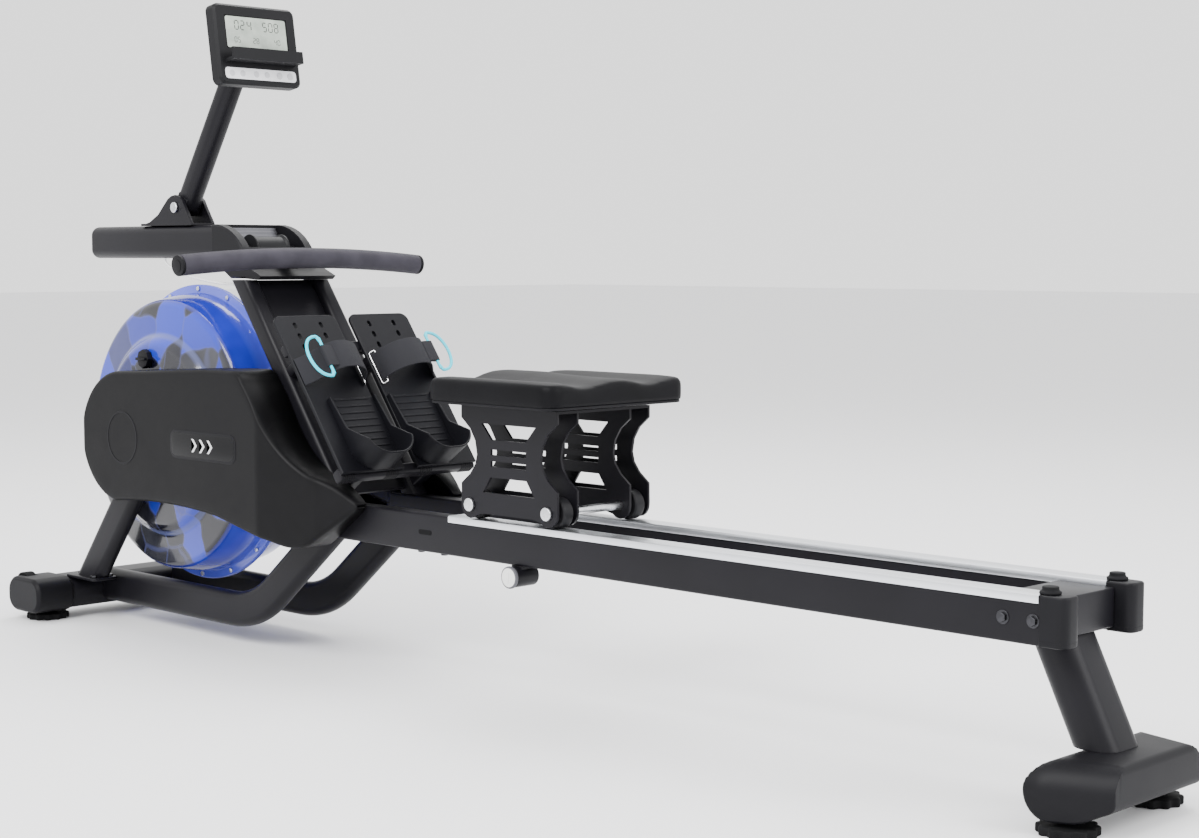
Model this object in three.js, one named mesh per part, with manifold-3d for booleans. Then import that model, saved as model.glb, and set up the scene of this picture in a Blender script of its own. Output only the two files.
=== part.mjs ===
// Water rowing machine: twin rails, rolling seat, water tank with paddle wheel, foot plates, pull handle and console.
// Millimetres, +Z up, +X towards the rear of the machine, -Y is the rower's left.
// Stations along X are counted from a point above the rear feet of the standard length, with the tank end fixed;
// the whole machine is centred at the end.
import * as THREE from "three";
import { mergeVertices } from "three/addons/utils/BufferGeometryUtils.js";
import Module from "manifold-3d";

const wasm = await Module();
wasm.setup();

// ---- driving dimensions -------------------------------------------------------------------------------------

const GAP = 0.3; // air left between touching pieces
const RUN_GAP = 0.25; // radial clearance of a turning piece on its axle
const SIDES = [
  ["left", -1],
  ["right", 1],
];

const BEAM_WIDTH = 30; // rails, loops and uprights are all 60 x 30 tube
const BEAM_HEIGHT = 60;
const BEAM_WALL = 2.5;
const BEAM_Y = 73.8; // centre plane of each rail
const RAIL_FRONT = -1385;
const RAIL_LENGTH = 1339;
const RAIL_REAR = RAIL_FRONT + RAIL_LENGTH;
const RAIL_BOTTOM = 208;
const RAIL_TOP = RAIL_BOTTOM + BEAM_HEIGHT - 1.8;
const RAIL_CAP_LENGTH = 36;
const PLUG_GAP = 1; // clearance of a plug inside a tube's round corners

const TRACK_FRONT = -1070;
const TRACK_SHEET = 1.8;
const TRACK_LIP = 10;
const TRACK_TOP = RAIL_TOP + GAP + TRACK_SHEET;

const STOP_X = RAIL_REAR + 5;
const STOP_RADIUS = 10;
const STOP_HEIGHT = 9;

const LEG_WIDTH = 80;
const LEG_DEPTH = 55;
const LEG_WALL = 3;
const LEG_TOP = [RAIL_REAR - 28, 219];
const LEG_LEAN = 0.4486; // radians from the vertical
const CROSS_FRONT = RAIL_REAR - 66;
const CROSS_REAR = RAIL_REAR + 12;
const CROSS_BOTTOM = 214;
const CROSS_TOP = 262;

const REAR_BASE_X = RAIL_REAR + 46;
const REAR_BASE_HALF = 127;
const REAR_BASE_BACK_HALF = 100; // its ends slant in towards the back
const REAR_BASE_SHOULDER = 40; // radius of the upper corners seen from behind
const REAR_BASE_BOTTOM = 16;
const REAR_BASE_TOP = 84;
const REAR_FOOT_Y = 94;

const FRONT_BASE_X = -2075;
const FRONT_TUBE_HALF = 150;
const FRONT_TUBE_DEPTH = 92;
const FRONT_TUBE_BOTTOM = 18;
const FRONT_TUBE_TOP = 74;
const FRONT_CAP_END = 226;
const FRONT_CAP_BOTTOM = 16;
const FRONT_CAP_TOP = 78;
const FRONT_CAP_DEPTH = 106;
const FRONT_FOOT_Y = 176;
const WHEEL_RADIUS = 23;
const WHEEL_WIDTH = 20;
const WHEEL_X = -2106;
const WHEEL_Z = 60;
const WHEEL_Y = 198;

const FOOT_RADIUS = 37;
const FOOT_LOBES = 12;
const FOOT_HEIGHT = 11;

const LOOP_Z = 57; // centre line of the low tubes
const LOOP_FRONT = -2028;
const LOOP_BEND_X = -1575;
const LOOP_RISE = 0.681; // radians above the ground
const LOOP_BEND_LENGTH = 70;

const UPRIGHT_Y = 123;
const UPRIGHT_FOOT_X = -2010;
const UPRIGHT_LEAN = 0.677; // radians from the vertical
const BRACE_END = [-1400, 248];

const TANK_X = -1832;
const TANK_Z = 343;
const TANK_WALL = 4;
const TANK_FLANGE_RADIUS = 262;
const TANK_FLANGE_THICKNESS = 5;
const TANK_BODY_RADIUS = 245;
const TANK_RIM_RADIUS = 236;
const TANK_FACE_Y = 80;
const TANK_HUB_Y = 100;
const TANK_HUB_RADIUS = 165;
const SHAFT_RADIUS = 10;
const SHAFT_HALF = 158;
const PADDLE_RADIUS = 185;
const PADDLE_HALF = 58;
const PADDLE_BLADES = 6;
const PLUG_RADIUS = 17;
const PLUG_X = -1852;
const PLUG_Z = 476;
const DRUM_RADIUS = 40;
const DRUM_INNER_Y = 142;
const DRUM_OUTER_Y = 157;

const SHROUD_OUTER_Y = 168;
const SHROUD_WALL = 3;
const SHROUD_EDGE = 5;
const BADGE_X = -1592;
const BADGE_LENGTH = 186;
const BADGE_HEIGHT = 48;
const SHROUD_NOSE_RADIUS = 114;
const SHROUD_NOSE = [-1846, 343];

const BOOM_FRONT = -2150;
const BOOM_REAR = -1746;
const BOOM_HALF = 29;
const BOOM_Z = 680;
const BOOM_WALL = 2.5;
const HEAD_HALF = 75;
const HEAD_CHEEK = 17;
const HEAD_REAR = -1585;
const HEAD_ROLLER_X = -1640;
const HEAD_ROLLER_Z = 668;
const HEAD_ROLLER_RADIUS = 20;
const HEAD_ROLLER_HALF = 34;

const MAST_HINGE_X = -1872;
const MAST_HINGE_Z = 741;
const MAST_LEAN = 0.583;
const MAST_DEPTH = 42;
const MAST_WIDTH = 36;
const MAST_LENGTH = 302;
const EAR_THICKNESS = 6;
const EAR_GAP = 1;
const HINGE_BOSS = 15;

const CONSOLE_X = -1654;
const CONSOLE_Z = 1011;
const CONSOLE_LEAN = 0.157;
const CONSOLE_WIDTH = 168;
const CONSOLE_HEIGHT = 137;
const CONSOLE_DEPTH = 27;
const KEY_RADIUS = 6;
const KEY_YS = [38, 60];
const KEY_TRAVEL = 1.2;

const HANDLE_X = -1534;
const HANDLE_Z = 640;
const HANDLE_HALF = 250;
const HANDLE_BOW = 12;
const HANDLE_RADIUS = 17;
const HANDLE_BAR_RADIUS = 9;
const HANDLE_CAP = 6;
const STRAP_WIDTH = 30;
const STRAP_THICKNESS = 3;

const INCLINE = 0.9338; // slope of the foot frame above the ground
const INCLINE_FOOT = [-1352, 286];
const INCLINE_TOP = 430; // before its top is cut level under the head
const INCLINE_TOP_Z = 615.7;
const INCLINE_FRONT = -20;
const INCLINE_BACK = 15;
const ARM_TOP = 70;
const FOOT_BAR_HALF = 138;
const FOOT_BAR_LOW = -22;
const FOOT_BAR_HIGH = 214;
const FOOT_BAR_DEPTH = 18;

const PEDAL_INNER = 14;
const PEDAL_OUTER = 138;
const HEEL_OUTER = 107; // the heel cup keeps to the inner part of the pedal
const PEDAL_LOW = -26;
const PEDAL_TOP = 271;
const PEDAL_FACE = 95;
const PEDAL_THICKNESS = 7;
const HEEL_TOP = 112;
const HEEL_WALL = 3.5;
const HEEL_DEPTH = 50;
const SHOE_STRAP_LOW = 136;
const SHOE_STRAP_WIDTH = 50;
const SHOE_STRAP_THICKNESS = 3;
const SHOE_STRAP_RISE = 54;
const RING_HINGE_Y = 109.6;
const RING_RADIUS = 2.6;

const SEAT_FRONT = -1066;
const SEAT_REAR = -797;
const SEAT_HALF = 140;
const SEAT_BOTTOM = 441;
const SEAT_CROWN = 481;
const SEAT_HOLLOW = 8;
const CARRIAGE_PLATE_Y = 91.6;
const CARRIAGE_PLATE = 4;
const CARRIAGE_INNER_Y = 52;
const CARRIAGE_TOP = 437;
const ROLLER_RADIUS = 22;
const ROLLER_WIDTH = 20;
const AXLE_FRONT_X = -1014;
const AXLE_REAR_X = -851;
const AXLE_RADIUS = 6;
const AXLE_Z = TRACK_TOP + GAP + ROLLER_RADIUS;

const LOCK_X = -926;
const LOCK_Z = 192;
const LOCK_RADIUS = 15.5;

// ---- materials ----------------------------------------------------------------------------------------------

const finish = (color, roughness, metalness = 0) => ({ color, roughness, metalness });
const BLACK_PAINT = finish(0x2f2e33, 0.42, 0.3);
const BLACK_PLASTIC = finish(0x26262a, 0.6);
const RUBBER = finish(0x1b1b1d, 0.85);
const ALUMINIUM = finish(0xc8ccd2, 0.28, 1);
const STEEL = finish(0xb9bcc2, 0.3, 1);
const TANK_BLUE = finish(0x3a56c4, 0.12);
const WHITE_PLASTIC = finish(0xe6e6e8, 0.4);
const FOAM = finish(0x55545c, 0.9);
const WEBBING = finish(0x303136, 0.95);
const CYAN = finish(0x78cde1, 0.45);
const SEAT_SKIN = finish(0x2b2b2f, 0.7);
const KEY_GREY = finish(0x3b3f46, 0.5);

// ---- shape helpers ------------------------------------------------------------------------------------------

/** A manifold solid from any closed three.js geometry, turned so that its faces point out. */
function solid(geometry) {
  const plain = geometry.index ? geometry.toNonIndexed() : geometry.clone();
  plain.deleteAttribute("normal");
  plain.deleteAttribute("uv");
  const merged = mergeVertices(plain, 1e-3);
  const triVerts = new Uint32Array(merged.index.array);
  const vertProperties = new Float32Array(merged.attributes.position.array);
  let made = new wasm.Manifold(new wasm.Mesh({ numProp: 3, vertProperties, triVerts }));
  if (made.volume() < 0) {
    for (let i = 0; i < triVerts.length; i += 3) {
      [triVerts[i + 1], triVerts[i + 2]] = [triVerts[i + 2], triVerts[i + 1]];
    }
    made = new wasm.Manifold(new wasm.Mesh({ numProp: 3, vertProperties, triVerts }));
  }
  return made;
}

const asSolid = (shape) => (shape.isBufferGeometry ? solid(shape) : shape);

function join(...shapes) {
  return shapes.map(asSolid).reduce((all, next) => all.add(next));
}

function cut(body, ...tools) {
  return tools.map(asSolid).reduce((left, tool) => left.subtract(tool), asSolid(body));
}

function common(a, b) {
  return asSolid(a).intersect(asSolid(b));
}

/** Back from a manifold solid to a geometry with flat-shaded faces. */
function asGeometry(shape) {
  const { vertProperties, triVerts, numProp, numVert } = asSolid(shape).getMesh();
  const positions = new Float32Array(numVert * 3);
  for (let i = 0; i < numVert; i++) {
    positions.set(vertProperties.subarray(i * numProp, i * numProp + 3), i * 3);
  }
  const geometry = new THREE.BufferGeometry();
  geometry.setAttribute("position", new THREE.BufferAttribute(positions, 3));
  geometry.setIndex(new THREE.BufferAttribute(new Uint32Array(triVerts), 1));
  const flat = geometry.toNonIndexed();
  flat.computeVertexNormals();
  return flat;
}

function polygon(points) {
  return new THREE.Shape(points.map(([x, y]) => new THREE.Vector2(x, y)));
}

/** A rectangle centred on (0, 0) with round corners. */
function roundRect(width, height, radius) {
  const x = width / 2;
  const y = height / 2;
  const r = Math.min(radius, x - 0.01, y - 0.01);
  const shape = new THREE.Shape();
  shape.moveTo(-x + r, -y);
  shape.lineTo(x - r, -y);
  shape.absarc(x - r, -y + r, r, -Math.PI / 2, 0);
  shape.absarc(x - r, y - r, r, 0, Math.PI / 2);
  shape.absarc(-x + r, y - r, r, Math.PI / 2, Math.PI);
  shape.absarc(-x + r, -y + r, r, Math.PI, 1.5 * Math.PI);
  return shape;
}

/** The same rectangle as an open tube section of the given wall. */
function tubeSection(width, height, radius, wall) {
  const shape = roundRect(width, height, radius);
  const inner = roundRect(width - 2 * wall, height - 2 * wall, Math.max(radius - wall, 0.5));
  shape.holes.push(inner);
  return shape;
}

function extrude(shape, depth, bevel = 0, curveSegments = 3) {
  const geometry = new THREE.ExtrudeGeometry(shape, {
    depth: depth - 2 * bevel,
    steps: 1,
    curveSegments,
    bevelEnabled: bevel > 0,
    bevelThickness: bevel,
    bevelSize: bevel,
    bevelOffset: -bevel,
    bevelSegments: 1,
  });
  return geometry.translate(0, 0, bevel);
}

/** A shape drawn in side view (x, z), with thickness from y = low to y = high. */
function sidePlate(shape, low, high, bevel = 0, curveSegments = 3) {
  return extrude(shape, high - low, bevel, curveSegments).rotateX(Math.PI / 2).translate(0, high, 0);
}

/** A shape drawn in plan (x, y), from z = low to z = high. */
function planPlate(shape, low, high, bevel = 0, curveSegments = 3) {
  return extrude(shape, high - low, bevel, curveSegments).translate(0, 0, low);
}

const Y_Z_X = new THREE.Matrix4().makeBasis(
  new THREE.Vector3(0, 1, 0),
  new THREE.Vector3(0, 0, 1),
  new THREE.Vector3(1, 0, 0),
);

/** A section drawn looking along X (y, z), from x = low to x = high. */
function alongX(shape, low, high, bevel = 0, curveSegments = 3) {
  return extrude(shape, high - low, bevel, curveSegments).applyMatrix4(Y_Z_X).translate(low, 0, 0);
}

function box(x0, x1, y0, y1, z0, z1) {
  const geometry = new THREE.BoxGeometry(x1 - x0, y1 - y0, z1 - z0);
  return geometry.translate((x0 + x1) / 2, (y0 + y1) / 2, (z0 + z1) / 2);
}

/** A cylinder along Y between two y values. */
function cylinderY(radius, x, z, y0, y1, sides = 24) {
  return new THREE.CylinderGeometry(radius, radius, y1 - y0, sides).translate(x, (y0 + y1) / 2, z);
}

/** A closed profile of [radius, height] points turned about the local Y axis. */
function lathe(points, sides = 32) {
  const loop = [...points, points[0]].map(([r, y]) => new THREE.Vector2(r, y));
  return new THREE.LatheGeometry(loop, sides);
}

/** A section carried along a path of straight runs whose corners are rounded over the given length. */
function sweep(points, section, bend = 0, bendSteps = 4) {
  const corners = points.map((p) => new THREE.Vector3(...p));
  const stations = [corners[0]];
  for (let i = 1; i < corners.length - 1; i++) {
    const before = corners[i - 1].clone().sub(corners[i]).setLength(bend).add(corners[i]);
    const after = corners[i + 1].clone().sub(corners[i]).setLength(bend).add(corners[i]);
    const arc = new THREE.QuadraticBezierCurve3(before, corners[i], after);
    stations.push(...arc.getPoints(bendSteps));
  }
  stations.push(corners[corners.length - 1]);
  return sweepStations(stations, section);
}

const ACROSS = new THREE.Vector3(0, 1, 0);
const UPWARD = new THREE.Vector3(0, 0, 1);

/** Extrudes along exactly these stations, with the section's own y axis held along the given direction. */
function sweepStations(stations, section, curveSegments = 2, across = ACROSS) {
  const path = new THREE.CurvePath();
  for (let i = 1; i < stations.length; i++) {
    path.add(new THREE.LineCurve3(stations[i - 1], stations[i]));
  }
  const last = stations.length - 1;
  path.computeFrenetFrames = () => {
    const tangents = stations.map((_, i) => {
      const from = stations[Math.max(i - 1, 0)];
      const to = stations[Math.min(i + 1, last)];
      return to.clone().sub(from).normalize();
    });
    const normals = tangents.map((t) => new THREE.Vector3().crossVectors(across, t).normalize());
    const binormals = tangents.map((t, i) => new THREE.Vector3().crossVectors(t, normals[i]));
    return { tangents, normals, binormals };
  };
  path.getSpacedPoints = () => stations.map((p) => p.clone());
  return new THREE.ExtrudeGeometry(section, { steps: last, extrudePath: path, curveSegments });
}

function mirrored(shape) {
  return asSolid(shape).scale([1, -1, 1]);
}

// ---- scene graph --------------------------------------------------------------------------------------------

const root = new THREE.Group();
const machine = new THREE.Group();
root.add(machine);

function add(name, shape, look, parent = machine) {
  const geometry = shape.isBufferGeometry ? asGeometry(solid(shape)) : asGeometry(shape);
  const mesh = new THREE.Mesh(geometry, new THREE.MeshStandardMaterial(look));
  mesh.name = name;
  parent.add(mesh);
  return mesh;
}

// ---- rails, tracks and rear support -------------------------------------------------------------------------

function rail() {
  const section = tubeSection(BEAM_WIDTH, RAIL_TOP - RAIL_BOTTOM, 4, BEAM_WALL);
  return alongX(section, RAIL_FRONT, RAIL_REAR, 0, 3).translate(0, BEAM_Y, (RAIL_TOP + RAIL_BOTTOM) / 2);
}

/** Aluminium running strip: an upside-down channel over the top of the rail. */
function track() {
  const inner = BEAM_WIDTH / 2 + GAP;
  const outer = inner + TRACK_SHEET;
  const under = RAIL_TOP + GAP;
  const section = polygon([
    [-outer, TRACK_TOP - TRACK_LIP],
    [-inner, TRACK_TOP - TRACK_LIP],
    [-inner, under],
    [inner, under],
    [inner, TRACK_TOP - TRACK_LIP],
    [outer, TRACK_TOP - TRACK_LIP],
    [outer, TRACK_TOP],
    [-outer, TRACK_TOP],
  ]);
  return alongX(section, TRACK_FRONT, RAIL_REAR - GAP).translate(0, BEAM_Y, 0);
}

function railCap() {
  const rear = RAIL_REAR + RAIL_CAP_LENGTH;
  const half = BEAM_WIDTH / 2 + TRACK_SHEET + GAP;
  const r = 12;
  const shape = new THREE.Shape();
  shape.moveTo(RAIL_REAR + GAP, -half);
  shape.lineTo(rear - r, -half);
  shape.absarc(rear - r, -half + r, r, -Math.PI / 2, 0);
  shape.absarc(rear - r, half - r, r, 0, Math.PI / 2);
  shape.lineTo(RAIL_REAR + GAP, half);
  const body = planPlate(shape, RAIL_BOTTOM, TRACK_TOP, 1.5);
  const inset = BEAM_WALL + PLUG_GAP;
  const inner = BEAM_WIDTH / 2 - inset;
  const plug = box(RAIL_REAR - 24, RAIL_REAR + 4, -inner, inner, RAIL_BOTTOM + inset, RAIL_TOP - inset);
  return join(body, plug).translate([0, BEAM_Y, 0]);
}

function seatStop() {
  const profile = [
    [0, 0],
    [STOP_RADIUS + 3, 0],
    [STOP_RADIUS + 3, 3],
    [STOP_RADIUS, 5],
    [STOP_RADIUS, STOP_HEIGHT - 2],
    [STOP_RADIUS - 2, STOP_HEIGHT],
    [0, STOP_HEIGHT],
  ];
  return lathe(profile, 20).rotateX(Math.PI / 2).translate(STOP_X, BEAM_Y, TRACK_TOP + GAP);
}

/** Inclined oval leg and the cross member that bolts between the rails. */
function rearLeg() {
  const slope = Math.tan(LEG_LEAN);
  const [topX, topZ] = LEG_TOP;
  const base = REAR_BASE_TOP + GAP;
  const footX = (z) => topX + slope * (topZ - z);
  const line = (z0, z1) => [
    new THREE.Vector3(footX(z0), 0, z0),
    new THREE.Vector3(footX(z1), 0, z1),
  ];
  const section = tubeSection(LEG_DEPTH, LEG_WIDTH, 25, LEG_WALL);
  const tube = sweepStations(line(base - 40, topZ), section, 3);
  const half = BEAM_Y - BEAM_WIDTH / 2 - TRACK_SHEET - 2 * GAP;
  const cross = box(CROSS_FRONT, CROSS_REAR, -half, half, CROSS_BOTTOM, CROSS_TOP);
  const below = box(footX(0) - 120, footX(0) + 120, -90, 90, -60, base);
  return cut(join(tube, cross), below);
}

/** Section of the rear foot beam: round nose in front, upright back, slanted lower rear edge. */
function rearBaseShape() {
  const middle = (REAR_BASE_TOP + REAR_BASE_BOTTOM) / 2;
  const r = (REAR_BASE_TOP - REAR_BASE_BOTTOM) / 2;
  const shape = new THREE.Shape();
  shape.moveTo(20, REAR_BASE_BOTTOM);
  shape.lineTo(62, REAR_BASE_BOTTOM + 20);
  shape.lineTo(62, REAR_BASE_TOP - 6);
  shape.lineTo(56, REAR_BASE_TOP);
  shape.lineTo(-8, REAR_BASE_TOP);
  shape.absarc(-8, middle, r, Math.PI / 2, 1.5 * Math.PI);
  return shape;
}

/** The rear foot beam seen from behind: flat underneath, with round upper corners. */
function rearBaseElevation() {
  const r = REAR_BASE_SHOULDER;
  const top = REAR_BASE_TOP + GAP;
  const shape = new THREE.Shape();
  shape.moveTo(-REAR_BASE_HALF, 0);
  shape.lineTo(REAR_BASE_HALF, 0);
  shape.lineTo(REAR_BASE_HALF, top - r);
  shape.absarc(REAR_BASE_HALF - r, top - r, r, 0, Math.PI / 2);
  shape.absarc(r - REAR_BASE_HALF, top - r, r, Math.PI / 2, Math.PI);
  return shape;
}

function rearBase() {
  const beam = sidePlate(rearBaseShape(), -REAR_BASE_HALF, REAR_BASE_HALF, 4, 8);
  const plan = planPlate(
    polygon([
      [-60, -REAR_BASE_HALF],
      [-20, -REAR_BASE_HALF],
      [70, -REAR_BASE_BACK_HALF],
      [70, REAR_BASE_BACK_HALF],
      [-20, REAR_BASE_HALF],
      [-60, REAR_BASE_HALF],
    ]),
    0,
    REAR_BASE_TOP + 10,
  );
  const elevation = alongX(rearBaseElevation(), -60, 70);
  return common(common(beam, plan), elevation).translate([REAR_BASE_X, 0, 0]);
}

/** Levelling foot: scalloped rubber-edged disc with a short stem. */
function levellingFoot(x, y, under) {
  const outline = [];
  const steps = FOOT_LOBES * 4;
  for (let i = 0; i < steps; i++) {
    const angle = (2 * Math.PI * i) / steps;
    const r = FOOT_RADIUS - 2.2 + 2.2 * Math.cos(FOOT_LOBES * angle);
    outline.push([r * Math.cos(angle), r * Math.sin(angle)]);
  }
  const disc = planPlate(polygon(outline), 0, FOOT_HEIGHT);
  const stem = new THREE.CylinderGeometry(9, 16, under - GAP - FOOT_HEIGHT + 1, 20);
  stem.rotateX(Math.PI / 2).translate(0, 0, (under - GAP + FOOT_HEIGHT - 1) / 2);
  return join(disc, stem).translate([x, y, 0]);
}

function buildRails() {
  const knobSeat = cylinderY(LOCK_RADIUS, LOCK_X, LOCK_Z, 54, 96, 20);
  const knobPad = box(LOCK_X - 11, LOCK_X + 11, 62, 86, LOCK_Z, RAIL_BOTTOM + 1);
  const knobBore = cylinderY(6 + RUN_GAP, LOCK_X, LOCK_Z, 70, 100, 16);
  for (const [side, s] of SIDES) {
    const flip = (shape) => (s < 0 ? mirrored(shape) : shape);
    const housing = cut(join(knobSeat, knobPad), knobBore);
    add(`rail_${side}`, flip(s < 0 ? join(rail(), housing) : rail()), BLACK_PAINT);
    add(`track_${side}`, flip(track()), ALUMINIUM);
    add(`rail_cap_${side}`, flip(railCap()), BLACK_PLASTIC);
    add(`seat_stop_${side}`, flip(seatStop()), RUBBER);
    const rearFoot = levellingFoot(REAR_BASE_X, s * REAR_FOOT_Y, REAR_BASE_BOTTOM);
    add(`rear_foot_${side}`, rearFoot, RUBBER);
    const frontFoot = levellingFoot(FRONT_BASE_X, s * FRONT_FOOT_Y, FRONT_CAP_BOTTOM);
    add(`front_foot_${side}`, frontFoot, RUBBER);
  }
  add("rear_leg", rearLeg(), BLACK_PAINT);
  add("rear_stabiliser", rearBase(), BLACK_PLASTIC);
  const face = cylinderY(LOCK_RADIUS + 1, LOCK_X, LOCK_Z, -102, -96 - GAP, 28);
  const stem = cylinderY(6, LOCK_X, LOCK_Z, -97, -74, 16);
  add("lock_knob", join(face, stem), WHITE_PLASTIC);
}

// ---- front base, low side loops and uprights ----------------------------------------------------------------

function frontTube() {
  const height = FRONT_TUBE_TOP - FRONT_TUBE_BOTTOM;
  const middle = (FRONT_TUBE_TOP + FRONT_TUBE_BOTTOM) / 2;
  const shape = tubeSection(FRONT_TUBE_DEPTH, height, 22, 3);
  return sidePlate(shape, -FRONT_TUBE_HALF, FRONT_TUBE_HALF).translate(FRONT_BASE_X, 0, middle);
}

/** Moulded end of the front beam with the pocket and fork for its transport wheel. */
function frontCap() {
  const height = FRONT_CAP_TOP - FRONT_CAP_BOTTOM;
  const middle = (FRONT_CAP_TOP + FRONT_CAP_BOTTOM) / 2;
  const shape = roundRect(FRONT_CAP_DEPTH, height, 26);
  const start = FRONT_TUBE_HALF + GAP;
  const body = sidePlate(shape, start, FRONT_CAP_END, 5, 4).translate(FRONT_BASE_X, 0, middle);
  const half = WHEEL_WIDTH / 2 + 1;
  const pocket = cylinderY(WHEEL_RADIUS + 3, WHEEL_X, WHEEL_Z, WHEEL_Y - half, WHEEL_Y + half, 20);
  const mouthX = WHEEL_X - WHEEL_RADIUS - 3;
  const mouth = box(mouthX - 20, WHEEL_X, WHEEL_Y - half, WHEEL_Y + half, WHEEL_Z, WHEEL_Z + 40);
  const pin = cylinderY(4, WHEEL_X, WHEEL_Z, WHEEL_Y - half - 3, WHEEL_Y + half + 3, 14);
  return join(cut(body, pocket, mouth), pin);
}

function transportWheel() {
  const half = WHEEL_WIDTH / 2;
  const profile = [
    [4 + RUN_GAP, -half],
    [WHEEL_RADIUS - 3, -half],
    [WHEEL_RADIUS, -half + 3],
    [WHEEL_RADIUS, half - 3],
    [WHEEL_RADIUS - 3, half],
    [4 + RUN_GAP, half],
  ];
  return lathe(profile, 20).translate(WHEEL_X, WHEEL_Y, WHEEL_Z);
}

/** Low oval tube from the front beam, bent up to the front end of the rail. */
function sideLoop() {
  const rise = [Math.cos(LOOP_RISE), Math.sin(LOOP_RISE)];
  const reach = 330;
  const path = [
    [LOOP_FRONT, BEAM_Y, LOOP_Z],
    [LOOP_BEND_X, BEAM_Y, LOOP_Z],
    [LOOP_BEND_X + reach * rise[0], BEAM_Y, LOOP_Z + reach * rise[1]],
  ];
  const tube = sweep(path, tubeSection(BEAM_HEIGHT, BEAM_WIDTH, 14, BEAM_WALL), LOOP_BEND_LENGTH);
  const railSpace = box(RAIL_FRONT - GAP, -1000, 40, 110, RAIL_BOTTOM - GAP, 500);
  const above = box(-1700, -1000, 40, 110, RAIL_TOP, 600);
  return cut(tube, railSpace, above, frontBeamSpace());
}

/** The outside of the front beam, grown by the gap, that tubes are coped against. */
function frontBeamSpace() {
  const height = FRONT_TUBE_TOP - FRONT_TUBE_BOTTOM + 2 * GAP;
  const middle = (FRONT_TUBE_TOP + FRONT_TUBE_BOTTOM) / 2;
  const shape = roundRect(FRONT_TUBE_DEPTH + 2 * GAP, height, 22 + GAP);
  return sidePlate(shape, -300, 300).translate(FRONT_BASE_X, 0, middle);
}

/** The run of the front upright: up to the tank axle, then back under the cover to the front of the rail. */
function uprightRun(section) {
  const slope = Math.tan(UPRIGHT_LEAN);
  const atAxle = UPRIGHT_FOOT_X + slope * (TANK_Z - FRONT_TUBE_TOP);
  const path = [
    [UPRIGHT_FOOT_X - slope * 30, UPRIGHT_Y, FRONT_TUBE_TOP - 30],
    [atAxle, UPRIGHT_Y, TANK_Z],
    [BRACE_END[0], UPRIGHT_Y, BRACE_END[1]],
  ];
  return sweep(path, section, 60);
}

/** Front upright and brace in one bent tube, with its saddle, axle boss and tab. */
function upright() {
  const tube = uprightRun(tubeSection(BEAM_HEIGHT, BEAM_WIDTH, 14, BEAM_WALL));
  const plateShape = roundRect(96, 52, 10);
  const saddleZ = FRONT_TUBE_TOP + GAP;
  const saddle = planPlate(plateShape, saddleZ, saddleZ + 5).translate(UPRIGHT_FOOT_X - 2, UPRIGHT_Y, 0);
  const low = UPRIGHT_Y - BEAM_WIDTH / 2;
  const high = UPRIGHT_Y + BEAM_WIDTH / 2;
  const boss = cylinderY(24, TANK_X, TANK_Z, low, high, 16);
  const tab = box(BRACE_END[0] - 30, BRACE_END[0], BEAM_Y + BEAM_WIDTH / 2 + GAP, low + 4, 222, 262);
  const bore = cylinderY(SHAFT_RADIUS + RUN_GAP, TANK_X, TANK_Z, low - 5, high + 5, 20);
  return cut(join(tube, saddle, boss, tab), bore, frontBeamSpace());
}

function buildFrontFrame() {
  add("front_stabiliser", frontTube(), BLACK_PAINT);
  for (const [side, s] of SIDES) {
    const flip = (shape) => (s < 0 ? mirrored(shape) : shape);
    add(`front_cap_${side}`, flip(frontCap()), BLACK_PLASTIC);
    add(`transport_wheel_${side}`, flip(transportWheel()), RUBBER);
    add(`side_loop_${side}`, flip(sideLoop()), BLACK_PAINT);
    add(`upright_${side}`, flip(upright()), BLACK_PAINT);
  }
}

// ---- water tank, paddle wheel and covers --------------------------------------------------------------------

/** Half of the tank: rim flange, rounded shoulder, flat face and raised hub, open towards the seam. */
function tankShell() {
  const w = TANK_WALL;
  const seam = GAP / 2;
  const flange = seam + TANK_FLANGE_THICKNESS;
  const bore = SHAFT_RADIUS + RUN_GAP;
  const profile = [
    [TANK_BODY_RADIUS - w, seam],
    [TANK_FLANGE_RADIUS, seam],
    [TANK_FLANGE_RADIUS, flange],
    [TANK_BODY_RADIUS + 1, flange],
    [TANK_BODY_RADIUS, 30],
    [TANK_RIM_RADIUS, TANK_FACE_Y - 4],
    [TANK_RIM_RADIUS - 8, TANK_FACE_Y],
    [TANK_HUB_RADIUS + 12, TANK_FACE_Y + 3],
    [TANK_HUB_RADIUS, TANK_HUB_Y - 4],
    [TANK_HUB_RADIUS - 8, TANK_HUB_Y],
    [bore, TANK_HUB_Y],
    [bore, TANK_HUB_Y - w],
    [TANK_HUB_RADIUS - 10, TANK_HUB_Y - w],
    [TANK_HUB_RADIUS - 2, TANK_FACE_Y + 2],
    [TANK_HUB_RADIUS + 8, TANK_FACE_Y - w + 2],
    [TANK_RIM_RADIUS - 11, TANK_FACE_Y - w - 1],
    [TANK_BODY_RADIUS - w, 30],
  ];
  return lathe(profile, 32).translate(TANK_X, 0, TANK_Z);
}

function fillPlug() {
  const low = TANK_HUB_Y + GAP;
  const cap = cylinderY(PLUG_RADIUS, PLUG_X, PLUG_Z, low, low + 12, 24);
  const bridge = box(PLUG_X - PLUG_RADIUS + 2, PLUG_X + PLUG_RADIUS - 2, low + 11, low + 17, PLUG_Z - 3, PLUG_Z + 3);
  const neck = cylinderY(PLUG_RADIUS - 6, PLUG_X, PLUG_Z, low - 8, low + 1, 20);
  return mirrored(join(cap, bridge, neck));
}

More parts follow.
